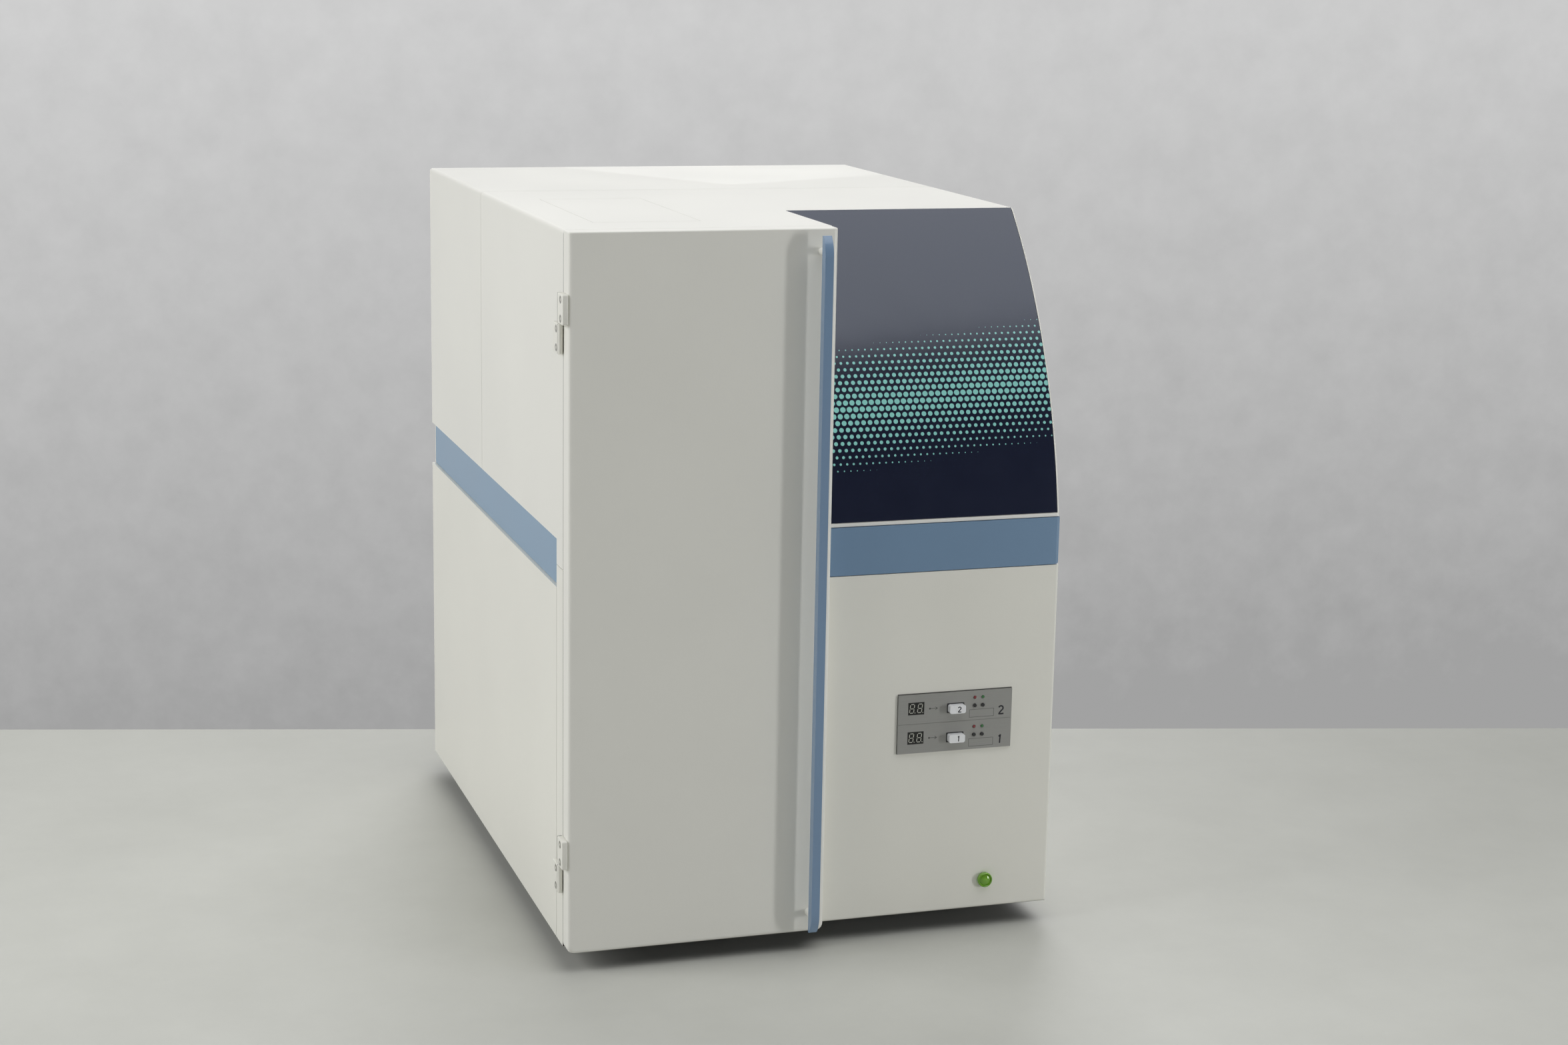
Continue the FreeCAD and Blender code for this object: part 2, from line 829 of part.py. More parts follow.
# Front top cover: the box over the tower and the curved hood in one moulding.
def make_front_top_cover():
    body = new_body("front_top_cover_body")
    seam_y = s.cover_seam - s.seam / 2
    lip = s.frame_top + s.seam
    tower = [
        (s.tower_front, lip),
        (s.frame_back, lip),
        (s.frame_back, s.side_stripe_high),
        (seam_y, s.side_stripe_high),
        (seam_y, s.body_top),
        (s.tower_front, s.body_top),
    ]
    add(body, "tower_box", "YZ", tower, s.left, s.tower_right)
    hood_low = s.front_stripe_high + s.seam / 2
    foot, crest, radius = hood_outline(as_size(0), hood_low)
    hood = [foot, (seam_y, hood_low), (seam_y, s.body_top), crest]
    add(body, "hood_box", "YZ", hood, s.tower_right, s.right, {3: (radius, 1)})

    def rounded(edge):
        top_sides = at(edge, "z", s.body_top) and spans(edge, "y")
        outer = at(edge, "x", s.left) or at(edge, "x", s.right)
        curved = at(edge, "x", s.right) and not spans(edge, "y") and not spans(edge, "z")
        return (top_sides and outer) or curved

    soften(body, "cover_edges", s.cover_edge_radius, rounded)
    tower_hollow = box_outline(
        s.tower_front + s.cover_wall, seam_y, lip, s.cover_ceiling
    )
    take(body, "tower_hollow", "YZ", s.cover_inside, s.tower_inside, tower_hollow)
    foot, crest, radius = hood_outline(s.cover_wall, hood_low)
    hood_hollow = [foot, (seam_y, hood_low), (seam_y, s.cover_ceiling), crest]
    take(body, "hood_hollow", "YZ", s.tower_right, s.inner_right, hood_hollow, {3: (radius, 1)})
    doorway = box_outline(
        s.left + s.jamb_width,
        s.tower_right - s.inner_jamb_width,
        lip,
        s.body_top - s.lintel_height,
    )
    take(body, "doorway", "XZ", s.tower_front, s.tower_front + s.cover_wall, doorway)
    hatch = box_outline(-s.hatch_left, -s.hatch_right, -s.hatch_front, -s.hatch_back)
    take(body, "hatch_rebate", "XY", s.body_top - s.hatch_skin, s.body_top, hatch)
    ledge = s.hatch_ledge
    way = box_outline(
        -s.hatch_left + ledge, -s.hatch_right - ledge, -s.hatch_front + ledge, -s.hatch_back - ledge
    )
    take(body, "hatch_way", "XY", s.cover_ceiling, s.body_top, way)
    recess, left, right = graphic_recess(as_size(0))
    take(body, "graphic_recess", "YZ", left, right, *recess)
    piece("front_top_cover", body)


def graphic_recess(gap):
    """Profile of the band that the dark sheet lies in, and its left and right edges."""
    high = s.body_top - s.graphic_top_gap - gap
    low = s.graphic_low + gap
    outer_foot, outer_crest, outer_radius = arc_band(-s.graphic_thickness + gap * 4, low, high)
    inner_foot, inner_crest, inner_radius = arc_band(s.graphic_thickness + s.graphic_glue - gap, low, high)
    corners = [outer_foot, inner_foot, inner_crest, outer_crest]
    arcs = {1: (inner_radius, -1), 3: (outer_radius, 1)}
    left = s.tower_right + s.graphic_side_gap + gap
    right = s.right - s.graphic_margin - gap
    return (corners, arcs), left, right


def arc_band(inset, low, high):
    centre_y, centre_z = hood_centre()
    radius = s.hood_radius - inset
    foot = centre_y - root(square(radius) - square(low - centre_z))
    crest = centre_y - root(square(radius) - square(high - centre_z))
    return (foot, low), (crest, high), radius


# The dark printed sheet, bent to the hood and flush in its recess.
def make_graphic_panel():
    body = new_body("graphic_panel_body")
    gap = s.panel_wall / 10
    (corners, arcs), left, right = graphic_recess(gap)
    add(body, "graphic_sheet", "YZ", corners, left, right, arcs)
    piece("graphic_panel", body)


# Rear top cover: one sheet folded over the back half.
def make_rear_top_cover():
    body = new_body("rear_top_cover_body")
    low = s.side_stripe_high
    outline = [
        (s.left, low),
        (s.left, s.body_top),
        (s.right, s.body_top),
        (s.right, low),
        (s.inner_right, low),
        (s.inner_right, s.cover_ceiling),
        (s.cover_inside, s.cover_ceiling),
        (s.cover_inside, low),
    ]
    add(body, "rear_cover_sheet", "XZ", outline, s.cover_seam + s.seam / 2, s.back_reach)

    def rounded(edge):
        outer = at(edge, "x", s.left) or at(edge, "x", s.right)
        return outer and at(edge, "z", s.body_top)

    soften(body, "rear_cover_edges", s.cover_edge_radius, rounded)
    piece("rear_top_cover", body)


# Hatch: a thin skin flush with the top, and a plug that centres it.
def make_top_hatch():
    gap = s.hatch_gap
    skin = block(
        "hatch_skin_plate",
        (-s.hatch_left + gap, -s.hatch_right - gap),
        (-s.hatch_front + gap, -s.hatch_back - gap),
        (s.body_top - s.hatch_skin, s.body_top),
    )
    edge = s.hatch_ledge + gap
    plug = block(
        "hatch_plug_plate",
        (-s.hatch_left + edge, -s.hatch_right - edge),
        (-s.hatch_front + edge, -s.hatch_back - edge),
        (s.body_top - s.hatch_plug, s.body_top - s.hatch_skin),
    )
    piece("top_hatch", join("hatch_plates", skin, plug))


# Lower half of the frame round the doorway.
def make_tower_frame():
    body = new_body("tower_frame_body")
    outline = box_outline(s.left, s.tower_right, s.body_bottom, s.frame_top)
    add(body, "frame_box", "XZ", outline, s.tower_front, s.frame_back)
    wall = s.cover_wall
    hollow = box_outline(s.cover_inside, s.tower_inside, s.body_bottom + wall, s.frame_top)
    take(body, "frame_hollow", "XZ", s.tower_front + wall, s.frame_back, hollow)
    base_room = box_outline(s.cover_inside, s.tower_right, s.body_bottom, s.base_top + s.seat)
    take(body, "frame_floor_cut", "XZ", s.front_back, s.frame_back, base_room)
    doorway = box_outline(
        s.left + s.jamb_width,
        s.tower_right - s.inner_jamb_width,
        s.body_bottom + s.sill_height,
        s.frame_top,
    )
    take(body, "frame_doorway", "XZ", s.tower_front, s.tower_front + wall, doorway)
    across, low, high = catch_place(s.magnet_height)
    window = box_outline(
        across[0] - s.seat, across[1] + s.seat, low - s.seat, high + s.seat
    )
    take(body, "magnet_window", "XZ", s.tower_front, s.tower_front + wall, window)
    hole = [(plunger_across(), s.switch_height, s.plunger_radius + s.seat)]
    take(body, "plunger_hole", "XZ", s.tower_front, s.tower_front + wall, circles=hole)
    piece("tower_frame", body)


def catch_place(height):
    """Limits of a catch behind the inner jamb: across, low and high."""
    far = s.tower_inside - s.seat
    return (far - s.catch_width, far), height - s.catch_length / 2, height + s.catch_length / 2


def plunger_across():
    return s.tower_inside - s.seat - s.catch_width / 2


# Magnet that holds the door shut.
def make_door_magnet():
    across, low, high = catch_place(s.magnet_height)
    back = s.tower_front + s.catch_depth
    piece("door_magnet", block("magnet_block", across, (s.tower_front, back), (low, high)))


# Switch that tells when the door is open, and its sprung plunger.
def make_door_switch():
    across, low, high = catch_place(s.switch_height)
    front = s.tower_front + s.cover_wall + s.seat
    back = front + s.catch_depth
    case = block("switch_case", across, (front, back), (low, high))
    centre = (plunger_across(), s.switch_height)
    end = back - s.switch_wall
    bore = rod("switch_bore", "y", centre, (front, end), s.plunger_radius + s.plunger_play)
    piece("door_switch", cut("switch_body", case, bore))
    tip = s.tower_front - s.door_gap + s.seat
    plunger = rod("switch_plunger_rod", "y", centre, (tip, end - s.plunger_travel), s.plunger_radius)
    piece("switch_plunger", plunger)


# Sheet wall between the tower and the electronics bay.
def make_tower_partition():
    wall = block(
        "partition_sheet",
        (s.tower_inside, s.tower_inside + s.panel_wall),
        (s.frame_back + s.seat, s.rear_inside - s.seat),
        (s.floor, s.side_stripe_high - s.seat),
    )
    piece("tower_partition", wall)


# Rear panel with the fan's opening, the mains module's and the ports' windows, and vents.
def make_rear_panel():
    body = new_body("rear_panel_body")
    gap = s.cover_wall + s.seat
    outline = box_outline(s.left + gap, s.right - gap, s.floor, s.cover_ceiling - s.seat)
    add(body, "rear_sheet", "XZ", outline, s.rear_inside, s.rear_face)
    low = s.rear_inside
    fan = [(s.fan_across, s.fan_height, s.fan_bore)]
    take(body, "fan_opening", "XZ", low, s.rear_face, circles=fan)
    across = s.module_width / 2 + s.seat
    tall = s.module_tall / 2 + s.seat
    module = box_outline(
        s.module_across - across,
        s.module_across + across,
        s.module_height - tall,
        s.module_height + tall,
    )
    take(body, "module_window", "XZ", low, s.rear_face, module)
    for number in range(2):
        place = s.port_height + s.port_spacing * number
        across = s.port_window_width / 2
        tall = s.port_window_height / 2
        window = box_outline(
            -s.port_across - across, -s.port_across + across, place - tall, place + tall
        )
        take(body, f"port_window_{number}", "XZ", low, s.rear_face, window)
    vent_low = s.fan_height - s.vent_drop
    slot = box_outline(
        -s.port_across - s.vent_width / 2,
        -s.port_across + s.vent_width / 2,
        vent_low,
        vent_low + s.vent_height,
    )
    vent = take(body, "vent_slot", "XZ", low, s.rear_face, slot)
    reach = s.vent_pitch * (VENTS - 1)
    repeat(body, "vent_slots", vent, vent.Profile[0], "V_Axis", reach, VENTS)
    piece("rear_panel", body)


# Door: a moulded tray with rounded lower corners and front edges, crisp along the top, and
# closed at the back by a liner.
def make_door():
    body = new_body("door_shell_body")
    low = s.body_bottom - s.door_drop
    high = s.body_top
    outline = box_outline(s.left, s.tower_right, low, high)
    add(body, "door_tray", "XZ", outline, s.door_face, s.door_back)

    soften(
        body, "door_corners", s.door_corner_radius, lambda edge: spans(edge, "y") and at(edge, "z", low)
    )

    def on_top(edge):
        return at(edge, "y", s.door_face) and at(edge, "z", high)

    def beside_top(edge):
        return at(edge, "y", s.door_face) and not at(edge, "z", high)

    soften(body, "door_edges", s.door_edge_radius, beside_top)
    soften(body, "door_top_edge", s.door_top_radius, on_top)
    wall = s.door_wall
    hollow = box_outline(s.left + wall, s.tower_right - wall, low + wall, high - wall)
    take(body, "door_hollow", "XZ", s.door_face + wall, s.door_back, hollow)
    piece("door_shell", body)

    gap = wall + s.seat
    liner_front = s.door_back - s.liner_thickness
    liner = block(
        "liner_sheet",
        (s.left + gap, s.tower_right - gap),
        (liner_front, s.door_back),
        (low + gap, high - gap),
    )
    piece("door_liner", cut("liner_grooved", liner, gasket_ring("liner_groove", as_size(0))))
    piece("door_gasket", gasket_ring("gasket_seal", s.seat / 2))


def gasket_ring(name, play):
    """The rubber seal's frame near the liner's edge, or its groove when play is nought."""
    low = s.body_bottom - s.door_drop + s.gasket_inset
    high = s.body_top - s.gasket_inset
    left = s.left + s.gasket_inset
    right = s.tower_right - s.gasket_inset
    back = s.door_back + play
    deep = (back - s.gasket_height - play, back)
    width = s.gasket_width - play
    outer = block(
        name + "_outer", (left + play, right - play), deep, (low + play, high - play)
    )
    inner = block(
        name + "_inner", (left + width, right - width), deep, (low + width, high - width)
    )
    return cut(name, outer, inner)


# Handle: a long bar with its front ends rounded off, on two posts.
def make_handle():
    centre = s.tower_right - s.handle_inset + s.handle_width / 2
    back = s.door_face - s.handle_gap
    front = back - s.handle_depth
    low = s.body_bottom - s.door_drop + s.handle_end_gap
    high = s.body_top - s.handle_end_gap
    body = new_body("handle_bar_body")
    side = [
        (back, low),
        (back, high),
        (front + s.handle_end_drop, high),
        (front, high - s.handle_end_run),
        (front, low + s.handle_end_run),
        (front + s.handle_end_drop, low),
    ]
    ends = {2: (s.handle_end_radius, 1), 4: (s.handle_end_radius, 1)}
    add(body, "handle_profile", "YZ", side, centre - s.handle_width / 2, centre + s.handle_width / 2, ends)
    piece("handle_bar", body)
    low_post = s.body_bottom - s.door_drop + s.post_inset
    high_post = s.body_top - s.post_inset
    posts = [
        rod(f"handle_post_{i}", "y", (centre, height), (back, s.door_face), s.post_radius)
        for i, height in enumerate((low_post, high_post))
    ]
    piece("handle_posts", group("handle_post_pair", *posts))


# Lift-off hinges on the left side: the door's leaf turns on the pin of the body's leaf.
def make_hinges():
    pivot_x = s.left - s.hinge_pivot_out
    pivot_y = s.door_back + s.door_gap / 2
    across = (s.left - s.hinge_thickness, s.left)
    door_leaves = []
    body_leaves = []
    middles = (s.body_bottom - s.door_drop + s.hinge_inset, s.body_top - s.hinge_inset)
    for i, middle in enumerate(middles):
        door_limits = (middle + s.seat / 2, middle + s.hinge_leaf_height)
        body_limits = (middle - s.hinge_leaf_height, middle - s.seat / 2)
        plate = block(
            f"door_leaf_plate_{i}", across, (pivot_y - s.hinge_leaf_reach, pivot_y), door_limits
        )
        knuckle = rod(
            f"door_leaf_knuckle_{i}", "z", (pivot_x, pivot_y), door_limits, s.hinge_knuckle_radius
        )
        hole = rod(
            f"door_leaf_hole_{i}",
            "z",
            (pivot_x, pivot_y),
            door_limits,
            s.hinge_pin_radius + s.hinge_pin_play,
        )
        leaf = join(f"door_leaf_whole_{i}", plate, knuckle)
        door_leaves.append(cut(f"door_leaf_{i}", leaf, hole))
        plate = block(
            f"body_leaf_plate_{i}",
            across,
            (s.tower_front + s.seat, pivot_y + s.hinge_leaf_reach),
            body_limits,
        )
        knuckle = rod(
            f"body_leaf_knuckle_{i}", "z", (pivot_x, pivot_y), body_limits, s.hinge_knuckle_radius
        )
        pin = rod(
            f"hinge_pin_{i}",
            "z",
            (pivot_x, pivot_y),
            (middle - s.hinge_leaf_height, middle + s.hinge_pin_length),
            s.hinge_pin_radius,
        )
        body_leaves.append(join(f"body_leaf_{i}", plate, knuckle, pin))
    piece("hinge_door_leaves", group("door_leaf_pair", *door_leaves))
    piece("hinge_body_leaves", group("body_leaf_pair", *body_leaves))


# Rack: two walls with a ledge for each side of every plate, a floor and a roof.
def make_rack():
    deep = (s.rack_front, -s.rack_back)
    outer = (s.rack_left - s.rack_wall, s.rack_right + s.rack_wall)
    top = s.rack_ceiling + s.rack_wall
    plates = [
        block("rack_floor_plate", outer, deep, (s.rack_bottom, s.rack_floor)),
        block("rack_roof_plate", outer, deep, (s.rack_ceiling, top)),
        block("rack_left_wall", (outer[0], s.rack_left), deep, (s.rack_floor, s.rack_ceiling)),
        block("rack_right_wall", (s.rack_right, outer[1]), deep, (s.rack_floor, s.rack_ceiling)),
    ]
    piece("rack_frame", group("rack_plates", *plates))
    ledges = []
    for number in range(1, LEDGES):
        low = s.rack_floor + s.plate_pitch * number
        high = low + s.ledge_thickness
        left = (s.rack_left, s.rack_left + s.ledge_reach)
        right = (s.rack_right - s.ledge_reach, s.rack_right)
        ledges.append(block(f"left_ledge_{number}", left, deep, (low, high)))
        ledges.append(block(f"right_ledge_{number}", right, deep, (low, high)))
    piece("rack_ledges", group("rack_ledge_set", *ledges))


def rod_places():
    half = s.rod_spacing / 2
    return (-s.rack_centre - half, -s.rack_centre + half)


def drive_axis():
    """Height of the lift motor's shaft: the motor stands on the base plate."""
    return s.floor + s.motor_size / 2


def belt_front():
    """The outer face of the belt's front run."""
    return -s.pulley_back - s.pulley_radius - s.belt_play - s.belt_thickness


# Guide rods and the bracket on top of them, with the idler's cheeks and axle.
def make_guides():
    rods = [
        rod(f"guide_rod_{i}", "z", (place, -s.rod_back), (s.floor, s.top_bracket_height), s.rod_radius)
        for i, place in enumerate(rod_places())
    ]
    piece("guide_rods", group("guide_rod_pair", *rods))
    high = s.top_bracket_height + s.top_bracket_thickness
    plate = block(
        "bracket_plate",
        (s.cover_inside + s.bracket_play, s.tower_inside - s.bracket_play),
        (-s.rod_back - s.bracket_margin, s.bracket_margin - s.pulley_back),
        (s.top_bracket_height, high),
    )
    left = -s.pulley_left
    right = left + s.pulley_width
    deep = (-s.pulley_back - s.cheek_half_width, s.cheek_half_width - s.pulley_back)
    tall = (s.idler_height - s.cheek_tail, s.top_bracket_height)
    inner = (left - s.cheek_play, right + s.cheek_play)
    outer = (inner[0] - s.cheek_thickness, inner[1] + s.cheek_thickness)
    cheeks = [
        block("left_cheek", (outer[0], inner[0]), deep, tall),
        block("right_cheek", (inner[1], outer[1]), deep, tall),
    ]
    axle = rod(
        "idler_axle",
        "x",
        (-s.pulley_back, s.idler_height),
        outer,
        s.idler_axle_radius,
    )
    piece("top_bracket", join("top_bracket_whole", plate, *cheeks, axle))


# Carriage: a beam with a bush on each rod, a fork under the rack and a clamp on the belt.
def make_carriage():
    half = s.rack_clear_width / 2 + s.rack_wall
    top = s.rack_bottom
    beam_front = -s.rod_back - s.beam_depth / 2
    beam_back = -s.rod_back + s.beam_depth / 2
    low = top - s.beam_height
    places = rod_places()
    beam = block(
        "lift_beam",
        (places[0] - s.beam_end, places[1] + s.beam_end),
        (beam_front, beam_back),
        (low, top),
    )
    fork = block(
        "lift_fork",
        (-s.rack_centre - half, half - s.rack_centre),
        (s.rack_front, beam_front),
        (top - s.fork_thickness, top),
    )
    clamp_left = -s.pulley_left + (s.pulley_width - s.belt_width) / 2 - s.clamp_margin
    clamp_right = clamp_left + s.belt_width + s.clamp_margin
    run_front = belt_front()
    run_back = run_front + s.belt_thickness
    clamp = (top - s.fork_thickness, top + s.clamp_height)
    jaws = (top + s.clamp_margin, clamp[1])
    wall = s.clamp_wall
    arm = block(
        "clamp_arm",
        (clamp_left, clamp_right + wall),
        (-s.rod_back + s.bush_radius + wall, run_front - s.belt_play),
        clamp,
    )
    bridge = block(
        "clamp_bridge",
        (clamp_right + s.belt_play, clamp_right + wall),
        (run_front - s.belt_play, run_back + wall),
        jaws,
    )
    jaw = block(
        "clamp_jaw",
        (clamp_left, clamp_right + s.belt_play),
        (run_back + s.belt_play, run_back + wall),
        jaws,
    )
    bores = [
        rod(f"bush_bore_{i}", "z", (place, -s.rod_back), (low, top), s.bush_radius)
        for i, place in enumerate(places)
    ]
    carriage = join("carriage_whole", beam, fork, arm, bridge, jaw)
    piece("lift_carriage", cut("carriage_bored", carriage, *bores))
    bushes = [
        ring(
            f"bush_{i}",
            "z",
            (place, -s.rod_back),
            (low, top),
            s.bush_radius - s.bush_fit,
            s.rod_radius + s.bush_play,
        )
        for i, place in enumerate(places)
    ]
    piece("carriage_bushes", group("carriage_bush_pair", *bushes))


# Motors: the lift's with a boss round its shaft, and the tray's under the deck.
def make_motors():
    left = s.pulley_width - s.pulley_left + s.motor_gap
    centre = (-s.pulley_back, drive_axis())
    half = s.motor_size / 2
    face = left - s.motor_boss_height
    case = block(
        "lift_motor_case",
        (left, left + s.motor_length),
        (-s.pulley_back - half, half - s.pulley_back),
        (s.floor, s.floor + s.motor_size),
    )
    boss = rod("lift_motor_boss", "x", centre, (face, left), s.motor_boss_radius)
    bore = rod(
        "lift_motor_bore",
        "x",
        centre,
        (face, left + s.motor_bore_depth),
        s.shaft_radius + s.axle_play,
    )
    tray_motor = block(
        "tray_motor_case",
        (-s.rack_centre - half, half - s.rack_centre),
        (s.deck_back - s.tray_motor_inset, s.deck_back - s.tray_motor_inset + s.motor_length),
        (s.deck_top - s.deck_thickness - s.motor_size, s.deck_top - s.deck_thickness),
    )
    lift_motor = cut("lift_motor", join("lift_motor_whole", case, boss), bore)
    piece("motors", group("motor_pair", lift_motor, tray_motor))


def pulley_wheel(name, centre):
    """A wheel with a rim at each side that keeps the belt on it."""
    left = -s.pulley_left
    right = left + s.pulley_width
    rim = (s.pulley_width - s.belt_width) / 2 - s.rim_play
    tall = s.pulley_radius + s.rim_height
    return join(
        name,
        rod(name + "_tread", "x", centre, (left, right), s.pulley_radius),
        rod(name + "_left_rim", "x", centre, (left, left + rim), tall),
        rod(name + "_right_rim", "x", centre, (right - rim, right), tall),
    )


# Pulleys with rims, and the belt round them.
def make_belt_drive():
    left = -s.pulley_left
    right = left + s.pulley_width
    low = (-s.pulley_back, drive_axis())
    shaft_end = right + s.motor_bore_depth
    shaft = rod("drive_shaft", "x", low, (left, shaft_end), s.shaft_radius)
    piece("drive_pulley", join("drive_pulley_whole", pulley_wheel("drive_wheel", low), shaft))
    high = (-s.pulley_back, s.idler_height)
    bore = rod("idler_bore", "x", high, (left, right), s.idler_axle_radius + s.axle_play)
    piece("idler_pulley", cut("idler_pulley_bored", pulley_wheel("idler_wheel", high), bore))
    edge = (s.pulley_width - s.belt_width) / 2
    width = (left + edge, right - edge)
    outer = belt_slab("belt_outer", width, s.pulley_radius + s.belt_play + s.belt_thickness)
    inner = belt_slab("belt_inner", width, s.pulley_radius + s.belt_play)
    piece("lift_belt", cut("belt_loop", outer, inner))


def belt_slab(name, width, radius):
    """A slot-shaped slab round both pulleys."""
    low = drive_axis()
    high = s.idler_height
    deep = (-s.pulley_back - radius, radius - s.pulley_back)
    return join(
        name,
        block(name + "_middle", width, deep, (low, high)),
        rod(name + "_low_end", "x", (-s.pulley_back, low), width, radius),
        rod(name + "_high_end", "x", (-s.pulley_back, high), width, radius),
    )


def tube_places():
    """Centres of the photomultipliers over the plate."""
    middle = s.shield_front + s.shield_length / 2
    places = []
    for column in range(TUBE_COLUMNS):
        for row in range(TUBE_ROWS):
            across = -s.rack_centre + s.tube_pitch * (column - (TUBE_COLUMNS - 1) / 2)
            deep = middle + s.tube_pitch * (row - (TUBE_ROWS - 1) / 2)
            places.append((across, deep))
    return places


# Deck that the plates travel over, with a window over each lower detector, on four posts.
def make_deck():
    body = new_body("transfer_deck_body")
    low = s.deck_top - s.deck_thickness
    outline = box_outline(
        s.left + s.stripe_recess + s.stripe_wall + s.seat,
        s.tower_inside - s.seat,
        -s.deck_front,
        s.deck_back,
    )
    add(body, "deck_sheet", "XY", outline, low, s.deck_top)
    holes = [(across, deep, s.tube_radius) for across, deep in tube_places()]
    take(body, "detector_windows", "XY", low, s.deck_top, circles=holes)
    piece("transfer_deck", body)
    posts = []
    inset = s.deck_post_radius + s.deck_post_edge
    for across in (s.cover_inside + inset, s.tower_inside - inset):
        for deep in (inset - s.deck_front, s.deck_back - inset):
            name = f"deck_post_{len(posts)}"
            posts.append(rod(name, "z", (across, deep), (s.floor, low), s.deck_post_radius))
    edge = s.shield_post_edge
    half = s.shield_width / 2 - edge
    for across in (-s.rack_centre - half, half - s.rack_centre):
        for deep in (s.shield_front + edge, s.shield_front + s.shield_length - edge):
            name = f"shield_post_{len(posts) - 4}"
            high = s.deck_top + s.counting_gap
            side = -1 if across.value < -s.rack_centre.value else 1
            foot = across + side * s.shield_post_out
            posts.append(rod(name, "z", (foot, deep), (s.deck_top, high), s.shield_post_radius))
    piece("support_posts", group("support_post_set", *posts))


# Rails with a flange that the tray runs on.
def make_rails():
    half = s.rail_clear_width / 2
    deep = (-s.rail_front, s.rail_back)
    rails = []
    for side, name in ((-1, "left"), (1, "right")):
        inner = -s.rack_centre + half * side
        outer = inner + s.rail_wall * side
        ledge = inner - s.rail_flange * side
        wall = sorted((inner, outer), key=lambda place: place.value)
        flange = sorted((ledge, outer), key=lambda place: place.value)
        low = s.deck_top
        rails.append(
            join(
                name + "_rail",
                block(name + "_rail_wall", wall, deep, (low, low + s.rail_height)),
                block(name + "_rail_flange", flange, deep, (low, low + s.rail_flange_height)),
            )
        )
    piece("tray_rails", group("rail_pair", *rails))


# Tray that takes one plate, with a low lip at each end.
def make_tray():
    half = s.tray_width / 2
    across = (-s.rack_centre - half, half - s.rack_centre)
    low = s.deck_top + s.rail_flange_height + s.seat
    high = low + s.tray_thickness
    back = s.tray_front + s.tray_length
    floor = block("tray_floor", across, (s.tray_front, back), (low, high))
    lip = block("tray_lip_bar", across, (back - s.tray_lip, back), (high, high + s.tray_lip))
    piece("plate_tray", join("tray_whole", floor, lip))


# Lead shields above and below the plate, bored for the tubes.
def make_shields():
    half = s.shield_width / 2
    across = (-s.rack_centre - half, half - s.rack_centre)
    deep = (s.shield_front, s.shield_front + s.shield_length)
    under = s.deck_top - s.deck_thickness
    over = s.deck_top + s.counting_gap
    shields = []
    tubes = []
    for name, limits, ends in (
        ("lower", (under - s.shield_height, under), (under - s.shield_height - s.tube_overhang, under)),
        ("upper", (over, over + s.shield_height), (over, over + s.shield_height + s.tube_overhang)),
    ):
        holes = []
        for number, place in enumerate(tube_places()):
            holes.append(rod(f"{name}_bore_{number}", "z", place, limits, s.tube_radius))
            tubes.append(
                rod(f"{name}_tube_{number}", "z", place, ends, s.tube_radius - s.tube_play)
            )
        slab = block(name + "_slab", across, deep, limits)
        shields.append(cut(name + "_shield", slab, *holes))
    piece("lead_shields", group("shield_pair", *shields))
    piece("photomultipliers", group("tube_set", *tubes))


# Cards: the detector board on the upper tubes, and the counter boards in the bay.
def make_boards():
    top = s.deck_top + s.counting_gap + s.shield_height + s.tube_overhang + s.seat
    half = s.shield_width / 2
    boards = [
        block(
            "detector_board",
            (-s.rack_centre - half, half - s.rack_centre),
            (s.shield_front, s.shield_front + s.shield_length),
            (top, top + s.board_thickness),
        )
    ]
    for number in range(CARDS):
        low = s.card_left + s.card_spacing * number
        boards.append(
            block(
                f"counter_card_{number}",
                (low, low + s.board_thickness),
                (-s.card_front, s.supply_front - s.card_gap),
                (s.floor, s.floor + s.card_height),
            )
        )
    piece("counter_boards", group("board_set", *boards))


def make_power_supply():
    case = block(
        "supply_case",
        (s.supply_left, s.supply_left + s.supply_width),
        (s.supply_front, s.supply_front + s.supply_depth),
        (s.floor, s.floor + s.supply_height),
    )
    piece("power_supply", case)


# Drives: steel boxes in a cage, with bezels in the panel's window.
def make_drives():
    bezels = []
    cases = []
    front = s.front_face - s.drive_proud
    bezel_back = front + s.drive_bezel_thickness
    case_front = bezel_back + s.drive_gap
    across = (s.drive_left, s.drive_left + s.drive_width)
    for number, level in enumerate(("upper", "lower")):
        low = drive_place(number)
        high = low + s.drive_height - s.drive_split
        bezel = block(level + "_bezel_plate", across, (front, bezel_back), (low, high))
        case = block(
            level + "_case_box", across, (case_front, case_front + s.drive_depth), (low, high)
        )
        top = low + s.drive_height
        display = block(
            level + "_display_recess", *display_limits(front, top, s.display_depth)
        )
        holes = [display]
        for button in range(2):
            place = button_place(button, top)
            holes.append(
                rod(
                    f"{level}_button_hole_{button}",
                    "y",
                    place,
                    (front, bezel_back),
                    s.button_radius + s.button_play,
                )
            )
            holes.append(
                rod(
                    f"{level}_led_hole_{button}",
                    "y",
                    led_place(button, top),
                    (front, bezel_back),
                    s.led_radius + s.button_play,
                )
            )
        slot_deep = (front, front + s.plug_depth + s.seat)
        slot = block(level + "_bezel_slot", *plug_limits(top, slot_deep, s.plug_play))
        well = block(level + "_case_slot", *plug_limits(top, slot_deep, s.plug_play))
        bezels.append(cut(level + "_bezel", bezel, slot, *holes))
        cases.append(cut(level + "_case", case, well))
    piece("drive_bezels", group("bezel_pair", *bezels))
    piece("drive_cases", group("case_pair", *cases))
    make_drive_cage(case_front)
    make_indicators(front)
    make_buttons(front)
    make_sticks(front)


def display_limits(front, top, depth):
    left = s.drive_left + s.display_left
    high = top - s.display_drop
    return (left, left + s.display_width), (front, front + depth), (high - s.display_height, high)


